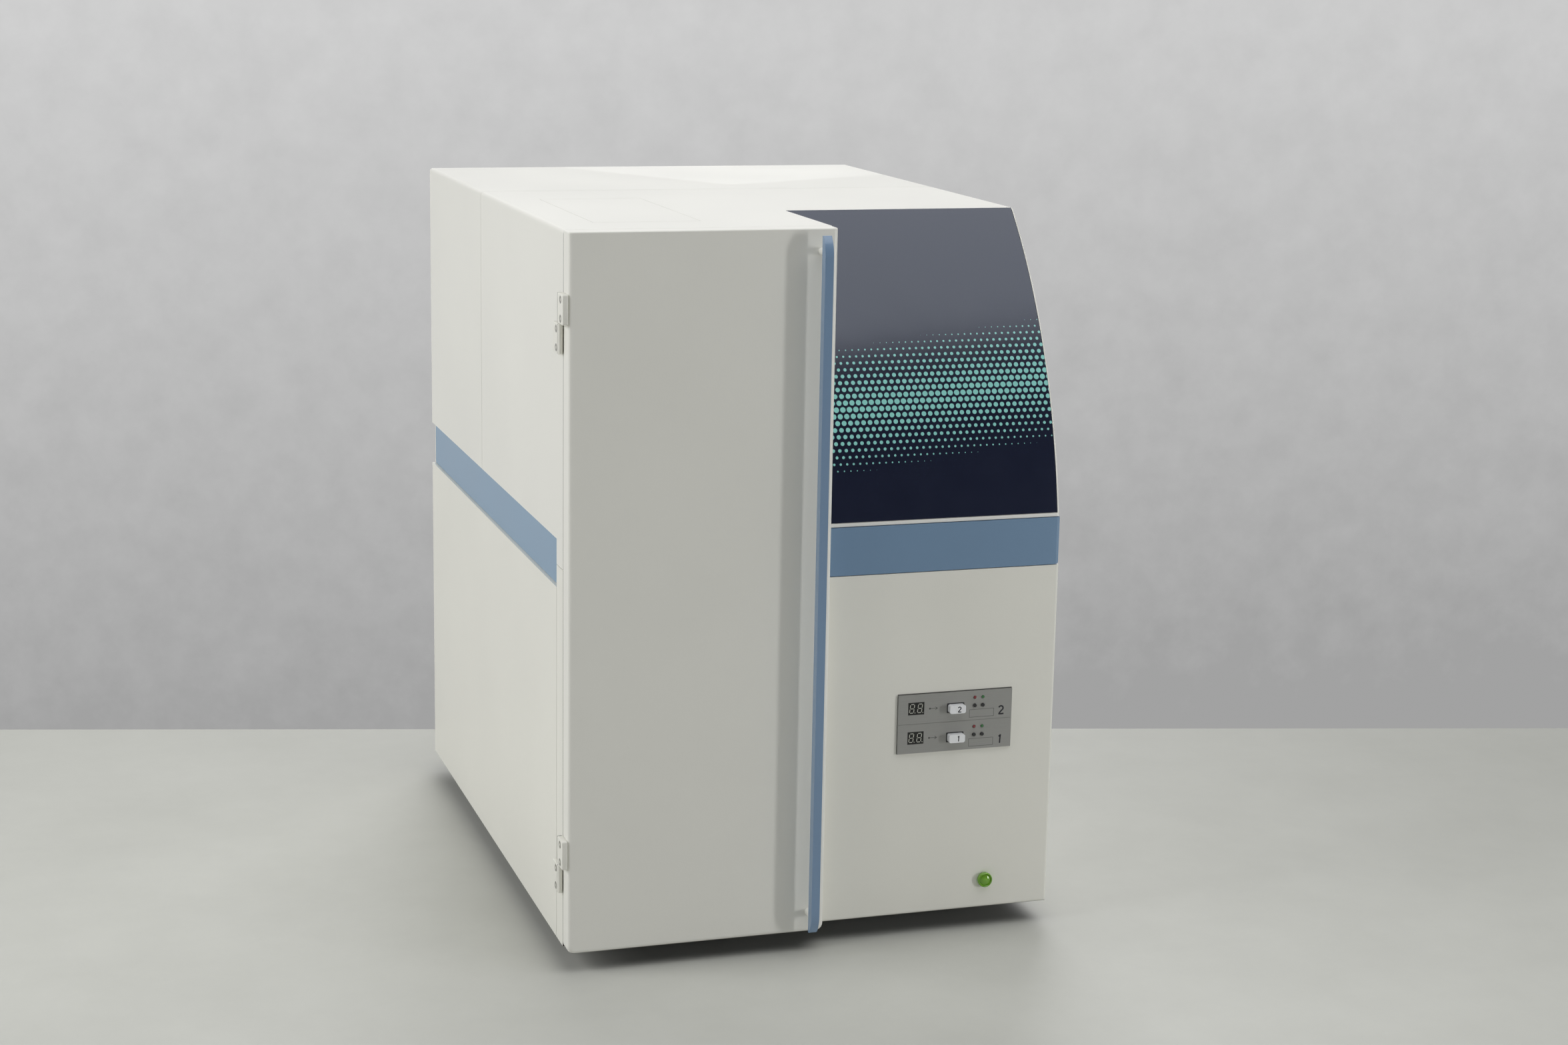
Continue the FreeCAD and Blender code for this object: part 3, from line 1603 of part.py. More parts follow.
def button_place(number, top):
    return s.drive_left + s.button_first + s.button_spacing * number, top - s.button_drop


def led_place(number, top):
    return s.drive_left + s.button_first + s.button_spacing * number, top - s.led_drop


def plug_limits(top, deep, play):
    left = s.drive_left + s.stick_left + (s.stick_width - s.plug_width) / 2
    high = top - s.stick_drop - (s.stick_height - s.plug_height) / 2
    across = (left - play, left + s.plug_width + play)
    return across, deep, (high - s.plug_height - play, high + play)


# Cage: two side plates that stand on the base plate, with a shelf between them.
def make_drive_cage(case_front):
    front = s.front_back + s.seam
    back = case_front + s.drive_depth
    left = s.drive_left - s.seat
    right = s.drive_left + s.drive_width + s.seat
    high = s.drive_low + s.drive_height * 2
    wall = s.panel_wall
    shelf = s.drive_low - s.seat
    plates = [
        block("cage_left", (left - wall, left), (front, back), (s.floor, high)),
        block("cage_right", (right, right + wall), (front, back), (s.floor, high)),
        block("cage_shelf", (left, right), (front, back), (shelf - wall, shelf)),
    ]
    piece("drive_cage", join("cage_whole", *plates))


def make_indicators(front):
    lights = []
    for number, level in enumerate(("upper", "lower")):
        top = drive_place(number) + s.drive_height
        lights.append(block(level + "_display", *display_limits(front, top, s.display_depth)))
        for lamp in range(2):
            deep = (front - s.led_proud, front + s.drive_bezel_thickness)
            lights.append(rod(f"{level}_led_{lamp}", "y", led_place(lamp, top), deep, s.led_radius))
    piece("drive_indicators", group("indicator_set", *lights))


def make_buttons(front):
    deep = (front - s.button_proud, front - s.button_proud + s.button_length)
    for number, level in enumerate(("upper", "lower")):
        top = drive_place(number) + s.drive_height
        for button, side in enumerate(("left", "right")):
            place = button_place(button, top)
            name = f"{level}_{side}_button"
            piece(name, rod(name + "_cap", "y", place, deep, s.button_radius))


# Memory sticks in the drives' sockets: a rounded grip and the plug behind it.
def make_sticks(front):
    for number, level in enumerate(("upper", "lower")):
        top = drive_place(number) + s.drive_height
        left = s.drive_left + s.stick_left
        high = top - s.stick_drop
        face = front - s.seat
        body = new_body(level + "_stick_body")
        outline = box_outline(left, left + s.stick_width, high - s.stick_height, high)
        add(body, level + "_stick_grip", "XZ", outline, face - s.stick_proud, face)

        def rounded(edge):
            return spans(edge, "y")

        soften(body, level + "_stick_corners", s.stick_corner, rounded)
        across, deep, tall = plug_limits(top, (face, front + s.plug_depth), as_size(0))
        add(body, level + "_stick_plug", "XZ", box_outline(*across, *tall), *deep)
        piece(level + "_usb_stick", body)


# Pilot lamp: a turned bezel and dome, with its body and nut behind the panel.
def make_lamp():
    body = new_body("power_lamp_body")
    drawing = new_sketch(body, "lamp_half", "YZ", s.lamp_across)
    face = s.front_face
    behind = face + s.panel_wall
    middle = s.lamp_height
    nut = behind + s.lamp_nut_thickness
    corners = [
        (face - s.lamp_proud, middle),
        (face - s.lamp_bezel_depth, middle + s.lamp_dome_radius),
        (face - s.lamp_bezel_depth, middle + s.lamp_bezel_radius),
        (face, middle + s.lamp_bezel_radius),
        (face, middle + s.lamp_hole_radius),
        (behind, middle + s.lamp_hole_radius),
        (behind, middle + s.lamp_nut_radius),
        (nut, middle + s.lamp_nut_radius),
        (nut, middle + s.lamp_hole_radius),
        (face + s.lamp_body_depth, middle + s.lamp_hole_radius),
        (face + s.lamp_body_depth, middle),
    ]
    dome = s.lamp_dome_radius
    rise = s.lamp_proud - s.lamp_bezel_depth
    dome_radius = (square(dome) + square(rise)) / (rise * 2)
    draw(drawing, corners, {0: (dome_radius, -1)})
    turned = body.newObject("PartDesign::Revolution", "lamp_turned")
    turned.Profile = drawing
    axis = drawing.addGeometry(
        Part.LineSegment(Vector(face.value, middle.value, 0), Vector(0, middle.value, 0)), True
    )
    pin_point(drawing, axis, 1, face, middle)
    pin_point(drawing, axis, 2, as_size(0), middle)
    turned.ReferenceAxis = (drawing, ["Axis0"])
    piece("power_lamp", body)


# Fan: a square frame, a guard outside the rear panel, and a rotor with twisted blades.
def make_fan():
    half = s.fan_size / 2
    back = s.rear_inside
    front = back - s.fan_thickness
    centre = (s.fan_across, s.fan_height)
    case = block(
        "fan_case",
        (s.fan_across - half, s.fan_across + half),
        (front, back),
        (s.fan_height - half, s.fan_height + half),
    )
    bore = rod("fan_bore_tool", "y", centre, (front, back), s.fan_bore)
    hub_back = front + s.fan_stator_length
    hub = rod("fan_stator", "y", centre, (front, hub_back), s.fan_hub)
    arm = s.fan_arm_width / 2
    arm_deep = (front, front + s.fan_arm_thickness)
    arms = [
        block(
            "fan_arm_across",
            (s.fan_across - half, s.fan_across + half),
            arm_deep,
            (s.fan_height - arm, s.fan_height + arm),
        ),
        block(
            "fan_arm_up",
            (s.fan_across - arm, s.fan_across + arm),
            arm_deep,
            (s.fan_height - half, s.fan_height + half),
        ),
    ]
    spindle_deep = (hub_back, hub_back + s.fan_spindle_length)
    spindle = rod("fan_spindle", "y", centre, spindle_deep, s.fan_spindle_radius)
    open_case = cut("fan_open_case", case, bore)
    piece("fan_frame", join("fan_frame_whole", open_case, hub, *arms, spindle))
    make_rotor(hub_back + s.fan_rotor_gap, back - s.fan_blade_gap)
    make_guard(centre)


def make_rotor(front, back):
    body = new_body("fan_rotor_body")
    drawing = new_sketch(body, "rotor_hub_outline", "XZ", -back)
    draw_circle(drawing, s.fan_across, s.fan_height, s.fan_hub)
    hub = body.newObject("PartDesign::Pad", "rotor_hub")
    hub.Profile = drawing
    hub.setExpression("Length", (back - front).formula)
    foot = s.fan_height + s.fan_hub - s.blade_root
    tip = s.fan_height + s.fan_bore - s.fan_blade_gap
    lower = new_sketch(body, "blade_front", "XZ", -(front + s.blade_edge))
    draw(lower, blade_outline(as_size(0), foot, tip))
    upper = new_sketch(body, "blade_back", "XZ", -(back - s.blade_edge))
    draw(upper, blade_outline(s.blade_lean, foot, tip))
    blade = body.newObject("PartDesign::AdditiveLoft", "rotor_blade")
    blade.Profile = lower
    blade.Sections = [upper]
    blade.Ruled = True
    wheel = body.newObject("PartDesign::PolarPattern", "rotor_blades")
    wheel.Originals = [blade]
    wheel.Axis = (centre_line(body), ["Edge1"])
    wheel.Angle = 360
    wheel.Occurrences = FAN_BLADES
    body.Tip = wheel
    doc.recompute()
    bore = [(s.fan_across, s.fan_height, s.fan_spindle_radius + s.axle_play)]
    end = front + s.fan_spindle_length + s.blade_edge
    take(body, "rotor_bore", "XZ", front, end, circles=bore)
    piece("fan_rotor", body)


def blade_outline(lean, foot, tip):
    """One section of a blade, leant over sideways more at its tip than at its foot."""
    near = s.fan_across - s.blade_side
    far = near + s.blade_thickness
    drop = lean / 4
    tip_lean = lean * 4 / 3
    return [
        (near + lean, foot - drop),
        (far + lean, foot - drop),
        (far + tip_lean, tip - drop),
        (near + tip_lean, tip - drop),
    ]


def centre_line(body):
    """The fan's axis as a datum line."""
    line = body.newObject("PartDesign::Line", "rotor_axis")
    line.setExpression("Placement.Base.x", s.fan_across.formula)
    line.setExpression("Placement.Base.z", s.fan_height.formula)
    line.Placement = Placement(Vector(s.fan_across.value, 0, s.fan_height.value), TURNS["y"])
    return line


def make_guard(centre):
    face = s.rear_face
    wire = s.guard_wire
    deep = (face, face + wire)
    parts = []
    for number in range(GUARD_RINGS):
        outer = s.fan_bore - s.guard_margin - s.guard_pitch * number
        parts.append(ring(f"guard_ring_{number}", "y", centre, deep, outer, outer - wire * 1.5))
    reach = s.fan_bore + s.guard_bar_end
    parts.append(
        block(
            "guard_bar_across",
            (s.fan_across - reach, s.fan_across + reach),
            deep,
            (s.fan_height - wire, s.fan_height + wire),
        )
    )
    parts.append(
        block(
            "guard_bar_up",
            (s.fan_across - wire, s.fan_across + wire),
            deep,
            (s.fan_height - reach, s.fan_height + reach),
        )
    )
    piece("fan_guard", join("guard_whole", *parts))


# Mains module: rocker on top, socket with three pins in the middle, fuse drawer below.
def make_mains_module():
    centre = s.module_across
    half = s.module_width / 2
    low = s.module_height - s.module_tall / 2
    high = s.module_height + s.module_tall / 2
    front = s.rear_face - s.module_depth
    face = s.rear_face + s.module_flange
    case = block("module_case", (centre - half, centre + half), (front, s.rear_face), (low, high))
    edge = s.module_flange_edge
    flange = block(
        "module_flange_plate",
        (centre - half - edge, centre + half + edge),
        (s.rear_face, face),
        (low - edge, high + edge),
    )
    socket_middle = s.module_height
    socket = block(
        "module_socket",
        (centre - s.socket_width / 2, centre + s.socket_width / 2),
        (face - s.socket_depth, face),
        (socket_middle - s.socket_height / 2, socket_middle + s.socket_height / 2),
    )
    rocker_middle = high - s.rocker_radius - s.rocker_margin
    rocker_y = face - s.rocker_radius + s.rocker_proud
    play = s.rocker_play
    well = rod(
        "rocker_well",
        "x",
        (rocker_y, rocker_middle),
        (centre - s.rocker_width / 2 - play, centre + s.rocker_width / 2 + play),
        s.rocker_radius + play,
    )
    fuse_middle = low + s.fuse_height / 2 + s.fuse_margin
    slot = block(
        "fuse_slot",
        (centre - s.fuse_width / 2 - play, centre + s.fuse_width / 2 + play),
        (face - s.fuse_length - play, face),
        (fuse_middle - s.fuse_height / 2 - play, fuse_middle + s.fuse_height / 2 + play),
    )
    hollowed = cut("module_hollowed", join("module_whole", case, flange), socket, well, slot)
    pins = []
    places = ((-s.pin_spacing, -s.pin_drop), (s.pin_spacing, -s.pin_drop), (as_size(0), s.pin_rise))
    for number, (across, up) in enumerate(places):
        middle = centre + across
        level = socket_middle + up
        pins.append(
            block(
                f"mains_pin_{number}",
                (middle - s.pin_width / 2, middle + s.pin_width / 2),
                (face - s.socket_depth, face - s.pin_setback),
                (level - s.pin_height / 2, level + s.pin_height / 2),
            )
        )
    piece("mains_inlet", group("mains_module", hollowed, *pins))
    barrel = rod(
        "rocker_barrel",
        "x",
        (rocker_y, rocker_middle),
        (centre - s.rocker_width / 2, centre + s.rocker_width / 2),
        s.rocker_radius,
    )
    keep = block(
        "rocker_keep",
        (centre - s.rocker_width, centre + s.rocker_width),
        (rocker_y - s.rocker_back, rocker_y + s.rocker_radius * 2),
        (rocker_middle - s.rocker_radius * 2, rocker_middle + s.rocker_radius * 2),
    )
    valley = new_body("rocker_valley_body")
    crest = rocker_y + s.rocker_radius
    corners = [
        (crest - s.rocker_dip, rocker_middle),
        (crest, rocker_middle + s.rocker_radius),
        (crest + s.rocker_dip, rocker_middle),
        (crest, rocker_middle - s.rocker_radius),
    ]
    add(valley, "rocker_valley", "YZ", corners, centre - s.rocker_width, centre + s.rocker_width)
    piece("mains_rocker", cut("rocker_paddle", common("rocker_segment", barrel, keep), valley))
    drawer = block(
        "fuse_drawer_block",
        (centre - s.fuse_width / 2, centre + s.fuse_width / 2),
        (face - s.fuse_length, face + s.fuse_proud),
        (fuse_middle - s.fuse_height / 2, fuse_middle + s.fuse_height / 2),
    )
    piece("fuse_drawer", drawer)


# Serial ports: a flange on the rear panel with the connector's shell through it.
def make_ports():
    ports = []
    across = -s.port_across
    for number in range(2):
        middle = s.port_height + s.port_spacing * number
        flange = block(
            f"port_flange_{number}",
            (across - s.port_flange_width / 2, across + s.port_flange_width / 2),
            (s.rear_face, s.rear_face + s.port_flange_thickness),
            (middle - s.port_flange_height / 2, middle + s.port_flange_height / 2),
        )
        shell = block(
            f"port_shell_{number}",
            (across - s.port_shell_width / 2, across + s.port_shell_width / 2),
            (s.rear_inside - s.port_shell_tail, s.rear_face + s.port_shell_proud),
            (middle - s.port_shell_height / 2, middle + s.port_shell_height / 2),
        )
        ports.append(join(f"serial_port_{number}", flange, shell))
    piece("serial_ports", group("serial_port_pair", *ports))


make_base_plate()
make_feet()
make_side_panels()
make_side_stripes()
make_front_stripe()
make_front_lower_panel()
make_front_top_cover()
make_graphic_panel()
make_rear_top_cover()
make_top_hatch()
make_tower_frame()
make_door_magnet()
make_door_switch()
make_tower_partition()
make_rear_panel()
make_door()
make_handle()
make_hinges()
make_rack()
make_guides()
make_carriage()
make_motors()
make_belt_drive()
make_deck()
make_rails()
make_tray()
make_shields()
make_boards()
make_power_supply()
make_drives()
make_lamp()
make_fan()
make_mains_module()
make_ports()
doc.recompute()

faults = [thing.Name for thing in doc.Objects if {"Invalid", "Error"} & set(thing.State)]
if faults:
    raise SystemExit("failed objects: " + ", ".join(faults))
for feature in doc.Objects:
    if feature.TypeId == "PartDesign::Pocket":
        if feature.BaseFeature.Shape.Volume - feature.Shape.Volume < 0.01:
            raise SystemExit("cuts nothing: " + feature.Name)
for made in pieces:
    if made.Shape.isNull() or not made.Shape.isValid() or not made.Shape.Solids:
        raise SystemExit("bad shape: " + made.Label)
os.makedirs("parts", exist_ok=True)
for made in pieces:
    made.Shape.exportStep(f"parts/{made.Label}.step")
print(len(pieces), "pieces", sum(len(made.Shape.Solids) for made in pieces), "solids")
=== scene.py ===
import math

import bpy
import numpy as np
from mathutils import Matrix, Vector


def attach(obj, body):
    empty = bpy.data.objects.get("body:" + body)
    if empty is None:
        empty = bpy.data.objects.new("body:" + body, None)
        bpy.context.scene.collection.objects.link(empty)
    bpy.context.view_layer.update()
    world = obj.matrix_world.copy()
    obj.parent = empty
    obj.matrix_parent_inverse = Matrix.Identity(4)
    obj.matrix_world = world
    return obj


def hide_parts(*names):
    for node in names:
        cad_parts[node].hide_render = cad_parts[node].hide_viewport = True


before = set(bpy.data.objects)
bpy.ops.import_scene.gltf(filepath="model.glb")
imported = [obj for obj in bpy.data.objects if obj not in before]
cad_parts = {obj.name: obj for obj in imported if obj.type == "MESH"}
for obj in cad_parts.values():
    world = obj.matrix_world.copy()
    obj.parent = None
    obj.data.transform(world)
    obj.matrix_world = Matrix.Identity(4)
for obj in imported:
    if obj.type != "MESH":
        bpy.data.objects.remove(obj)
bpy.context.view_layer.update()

# The camera. The photographer stood well back, to the left of the front, and looked down
# a little past the top of the counter through a short telephoto lens.
eye = Vector((-0.68916, -2.29464, 0.8244))
heading = Matrix.Rotation(math.radians(-18.0), 4, "Z")
dip = Matrix.Rotation(math.radians(90.0 - 12.21), 4, "X")
lean = Matrix.Rotation(math.radians(1.07), 4, "Z")
camera_data = bpy.data.cameras.new("camera")
camera_data.sensor_width = 36.0
camera_data.lens = 62.0
camera = bpy.data.objects.new("camera", camera_data)
camera.matrix_world = Matrix.Translation(eye) @ heading @ dip @ lean
bpy.context.scene.collection.objects.link(camera)
bpy.context.scene.camera = camera
bpy.context.scene.view_settings.view_transform = "Standard"


# The table and the wall behind it. The table top is a worn grey-green laminate, and the wall a mottled
# grey that glows for the camera and takes no lamp light; it gets darker towards the table and towards the
# right, and that darkening is painted shade. Both are seen past the counter only.
def put_node(tree, kind, inputs=(), **settings):
    """A shader node of one kind; its menus are chosen, and its sockets are linked or set."""
    made = tree.nodes.new("ShaderNode" + kind)
    for menu, choice in settings.items():
        setattr(made, menu, choice)
    for socket, value in dict(inputs).items():
        if isinstance(value, bpy.types.NodeSocket):
            tree.links.new(value, made.inputs[socket])
        else:
            made.inputs[socket].default_value = value
    return made


def blend_colours(tree, share, first, second):
    """The colour between two colours at a share from nought to one."""
    mixed = put_node(tree, "Mix", {0: share, 6: (*first, 1.0), 7: (*second, 1.0)}, data_type="RGBA")
    return mixed.outputs[2]


def put_object(name, mesh):
    """A new object at the origin, linked into the scene."""
    made = bpy.data.objects.new(name, mesh)
    bpy.context.scene.collection.objects.link(made)
    return made


def flat_sheet(name, corners):
    """One flat face through four corners that are given in order round it."""
    mesh = bpy.data.meshes.new(name)
    mesh.from_pydata(corners, [], [[0, 1, 2, 3]])
    return put_object(name, mesh)


table_reach = 6.0
table_top = flat_sheet(
    "table_top",
    [
        (-table_reach, -table_reach, 0.0),
        (table_reach, -table_reach, 0.0),
        (table_reach, table_reach, 0.0),
        (-table_reach, table_reach, 0.0),
    ],
)
laminate = bpy.data.materials.new("worn_laminate")
laminate.use_nodes = True
tree = laminate.node_tree
place = put_node(tree, "TexCoord").outputs["Object"]
clouds = put_node(tree, "TexNoise", {"Vector": place, "Scale": 5.0, "Detail": 9.0, "Roughness": 0.68})
shader = tree.nodes["Principled BSDF"]
tree.links.new(
    blend_colours(tree, clouds.outputs["Fac"], (0.475, 0.48, 0.442), (0.605, 0.61, 0.568)),
    shader.inputs["Base Color"],
)
shader.inputs["Roughness"].default_value = 0.55
table_top.data.materials.append(laminate)

wall_slant = -0.2511
wall_at_middle = 0.380
wall_height = 4.0
wall_feet = [(x, wall_at_middle + wall_slant * x) for x in (-table_reach, table_reach)]
wall = flat_sheet(
    "wall",
    [(x, y, 0.0) for x, y in wall_feet] + [(x, y, wall_height) for x, y in wall_feet[::-1]],
)
mottled = bpy.data.materials.new("mottled_wall")
mottled.use_nodes = True
tree = mottled.node_tree
tree.nodes.remove(tree.nodes["Principled BSDF"])
place = put_node(tree, "TexCoord").outputs["Object"]
height = put_node(tree, "SeparateXYZ", {0: place})
# Painted shade: the wall darkens towards the table.
rise = put_node(tree, "MapRange", {"Value": height.outputs["Z"], 1: 0.0, 2: 0.75, 3: 0.0, 4: 0.86})
clouds = put_node(tree, "TexNoise", {"Vector": place, "Scale": 24.0, "Detail": 7.0, "Roughness": 0.62})
spread = put_node(
    tree, "MapRange", {"Value": clouds.outputs["Fac"], 1: 0.25, 2: 0.75, 3: -0.07, 4: 0.11}
)
# Painted shade: the wall darkens towards the right.
across = put_node(
    tree, "MapRange", {"Value": height.outputs["X"], 1: -1.2, 2: 1.6, 3: 0.05, 4: -0.16}
)
tone = put_node(tree, "Math", {0: rise.outputs[0], 1: spread.outputs[0]}, operation="ADD")
tone = put_node(tree, "Math", {0: tone.outputs[0], 1: across.outputs[0]}, operation="ADD")
colour = blend_colours(tree, tone.outputs[0], (0.36, 0.36, 0.36), (0.655, 0.655, 0.655))
glow = put_node(tree, "Emission", {"Color": colour})
path = put_node(tree, "LightPath")
seen = path.outputs["Is Camera Ray"]
for ray in ("Is Glossy Ray", "Is Transmission Ray"):
    seen = put_node(tree, "Math", {0: seen, 1: path.outputs[ray]}, operation="MAXIMUM").outputs[0]
behind = put_node(tree, "NewGeometry").outputs["Backfacing"]
shown = put_node(tree, "Math", {0: seen, 1: behind}, operation="SUBTRACT", use_clamp=True)
clear = put_node(tree, "BsdfTransparent")
one_sided = put_node(tree, "MixShader", {0: shown.outputs[0], 1: clear.outputs[0], 2: glow.outputs[0]})
tree.links.new(one_sided.outputs[0], tree.nodes["Material Output"].inputs["Surface"])
wall.data.materials.append(mottled)


# The lights. A wide soft box hangs over the counter, another stands at the left, a tall narrow
# light at the right throws the handle's upright shadow on the door, and one behind lights the back.
def soft_box(name, stands, looks_at, width, height, power):
    """A rectangular lamp at one point, turned so that its face looks at another."""
    data = bpy.data.lights.new(name, "AREA")
    data.shape = "RECTANGLE"
    data.size = width
    data.size_y = height
    data.energy = power
    made = put_object(name, data)
    away = Vector(stands) - Vector(looks_at)
    made.matrix_world = Matrix.Translation(stands) @ away.to_track_quat("Z", "Y").to_matrix().to_4x4()


middle = (0.0, 0.0, 0.3)
soft_box("overhead", (0.55, -0.7, 2.6), middle, 2.6, 2.4, 37.0)
soft_box("left_box", (-2.6, -0.1, 1.5), middle, 1.8, 1.8, 48.0)
soft_box("strip", (2.2, -1.95, 0.42), middle, 0.2, 0.8, 18.0)
soft_box("rear_box", (0.8, 2.6, 1.9), middle, 2.0, 2.0, 40.0)
world = bpy.data.worlds.new("room")
world.use_nodes = True
room_light = world.node_tree.nodes["Background"]
room_light.inputs["Color"].default_value = (0.96, 0.98, 1.0, 1.0)
room_light.inputs["Strength"].default_value = 0.10
bpy.context.scene.world = world


# Base plate and feet. The plate is black sprayed sheet with air slots, and the whole counter
# stands on it. The feet are moulded rubber, screwed on from below.
def new_group(name, inputs, outputs):
    """An empty node group with named number inputs and outputs, and its two end nodes."""
    group = bpy.data.node_groups.new(name, "ShaderNodeTree")
    for label in inputs:
        group.interface.new_socket(label, in_out="INPUT", socket_type="NodeSocketFloat")
    for label in outputs:
        group.interface.new_socket(label, in_out="OUTPUT", socket_type="NodeSocketFloat")
    return group, group.nodes.new("NodeGroupInput"), group.nodes.new("NodeGroupOutput")


# The third output is one where a face looks down within 30 mm of the table, and on the two faces that
# meet at the door's shut line beside the hinges; it is nought on the rest of the paint. Where it is one,
# the paint's colour is near black: painted shade under the counter and in the shut line.
foot_level = 0.03
tower_side = -0.2095
shut_middle, shut_reach = -0.26525, 0.0004
paint_skin_and_painted_shade, taken, given = new_group(
    "paint_skin_and_painted_shade", ["Grains per metre"], ["Drift", "Peel", "Painted shade"]
)
where = put_node(paint_skin_and_painted_shade, "TexCoord")
place = where.outputs["Object"]
drift = put_node(paint_skin_and_painted_shade, "TexNoise", {"Vector": place, "Scale": 6.5, "Detail": 4.0})
peel = put_node(
    paint_skin_and_painted_shade, "TexNoise", {"Vector": place, "Scale": taken.outputs[0], "Detail": 2.0}
)
paint_skin_and_painted_shade.links.new(drift.outputs["Fac"], given.inputs["Drift"])
paint_skin_and_painted_shade.links.new(peel.outputs["Fac"], given.inputs["Peel"])
facing = put_node(paint_skin_and_painted_shade, "SeparateXYZ", {0: where.outputs["Normal"]}).outputs["Z"]
lying = put_node(paint_skin_and_painted_shade, "MapRange", {"Value": facing, 1: -0.6, 2: -0.9, 3: 0.0, 4: 1.0})
at = put_node(paint_skin_and_painted_shade, "SeparateXYZ", {0: place}).outputs
low_down = put_node(paint_skin_and_painted_shade, "Math", {0: at["Z"], 1: foot_level}, operation="LESS_THAN")
below = put_node(
    paint_skin_and_painted_shade, "Math", {0: lying.outputs[0], 1: low_down.outputs[0]}, operation="MULTIPLY"
)
far_left = put_node(paint_skin_and_painted_shade, "Math", {0: at["X"], 1: tower_side}, operation="LESS_THAN")
shut_face = put_node(
    paint_skin_and_painted_shade, "Math", {0: at["Y"], 1: shut_middle, 2: shut_reach}, operation="COMPARE"
)
shut_line = put_node(
    paint_skin_and_painted_shade, "Math", {0: far_left.outputs[0], 1: shut_face.outputs[0]}, operation="MULTIPLY"
)
painted_shade = put_node(
    paint_skin_and_painted_shade, "Math", {0: below.outputs[0], 1: shut_line.outputs[0]}, operation="MAXIMUM"
)
paint_skin_and_painted_shade.links.new(painted_shade.outputs[0], given.inputs["Painted shade"])

drawn_grain, taken, given = new_group(
    "drawn_grain", ["Across X", "Across Y", "Across Z"], ["Streak", "Cloud"]
)
place = put_node(drawn_grain, "TexCoord").outputs["Object"]
stretch = put_node(
    drawn_grain, "CombineXYZ", {0: taken.outputs[0], 1: taken.outputs[1], 2: taken.outputs[2]}
)
lines = put_node(drawn_grain, "VectorMath", {0: place, 1: stretch.outputs[0]}, operation="MULTIPLY")
streak = put_node(drawn_grain, "TexNoise", {"Vector": lines.outputs[0], "Scale": 1.0, "Detail": 3.0})
cloud = put_node(drawn_grain, "TexNoise", {"Vector": place, "Scale": 22.0, "Detail": 5.0})
drawn_grain.links.new(streak.outputs["Fac"], given.inputs["Streak"])
drawn_grain.links.new(cloud.outputs["Fac"], given.inputs["Cloud"])


def grouped(tree, group, values):
    """A node that stands for a group, with its number inputs set."""
    made = tree.nodes.new("ShaderNodeGroup")
    made.node_tree = group
    for socket, value in zip(made.inputs, values):
        socket.default_value = value
    return made


def scaled(colour, share):
    """A colour with each part times the same share."""
    return tuple(part * share for part in colour)


# Near black for the painted shade under the counter and in the door's shut line.
painted_shade_colour = (0.03, 0.03, 0.03)


def sprayed(name, colour, roughness, grains=850.0, relief=0.00003, drift=0.035, coat=0.0):
    """Paint or moulded plastic: the colour drifts a little, and fine grains stand in relief. Faces that
    look down near the table, and those that face each other across the door's shut line, are painted near
    black as painted shade."""
    made = bpy.data.materials.new(name)
    made.use_nodes = True
    tree = made.node_tree
    shader = tree.nodes["Principled BSDF"]
    coating = grouped(tree, paint_skin_and_painted_shade, [grains])
    darker, lighter = scaled(colour, 1 - drift), scaled(colour, 1 + drift)
    tint = blend_colours(tree, coating.outputs["Drift"], darker, lighter)
    # Painted shade: near black mixed into the colour where the mask is one.
    painted_shade = put_node(
        tree, "Mix", {0: coating.outputs["Painted shade"], 6: tint, 7: (*painted_shade_colour, 1.0)}, data_type="RGBA"
    )
    tree.links.new(painted_shade.outputs[2], shader.inputs["Base Color"])
    rough = put_node(
        tree, "MapRange", {"Value": coating.outputs["Drift"], 3: roughness - 0.06, 4: roughness + 0.06}
    )
    tree.links.new(rough.outputs[0], shader.inputs["Roughness"])
    bump = put_node(tree, "Bump", {"Distance": relief, "Height": coating.outputs["Peel"]})
    tree.links.new(bump.outputs[0], shader.inputs["Normal"])
    shader.inputs["Coat Weight"].default_value = coat
    shader.inputs["Coat Roughness"].default_value = 0.12
    return made


def machined(name, colour, roughness, across, relief=0.00002, cloud=0.05, metal=1.0):
    """Bare metal: streaks along the direction in which it was drawn, and faint clouds."""
    made = bpy.data.materials.new(name)
    made.use_nodes = True
    tree = made.node_tree
    shader = tree.nodes["Principled BSDF"]
    grain = grouped(tree, drawn_grain, across)
    tint = blend_colours(tree, grain.outputs["Streak"], scaled(colour, 0.9), scaled(colour, 1.08))
    tree.links.new(tint, shader.inputs["Base Color"])
    rough = put_node(
        tree, "MapRange", {"Value": grain.outputs["Cloud"], 3: roughness - cloud, 4: roughness + cloud}
    )
    tree.links.new(rough.outputs[0], shader.inputs["Roughness"])
    bump = put_node(tree, "Bump", {"Distance": relief, "Height": grain.outputs["Streak"]})
    tree.links.new(bump.outputs[0], shader.inputs["Normal"])
    shader.inputs["Metallic"].default_value = metal
    return made


def dress(finish, *names):
    """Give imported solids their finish."""
    for name in names:
        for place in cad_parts[name].material_slots:
            place.material = finish


underside_black = sprayed("underside_black", (0.045, 0.045, 0.047), 0.6, 700.0, 0.00006)
black_rubber = sprayed("black_rubber", (0.022, 0.022, 0.023), 0.78, 1500.0, 0.00008)
dress(underside_black, "base_plate")
dress(black_rubber, "feet")

# Lower side panels. Steel sheet, folded at the top and sprayed a warm cream.
cream_paint = sprayed("cream_paint", (0.84, 0.832, 0.768), 0.42)
dress(cream_paint, "left_lower_panel", "right_lower_panel")

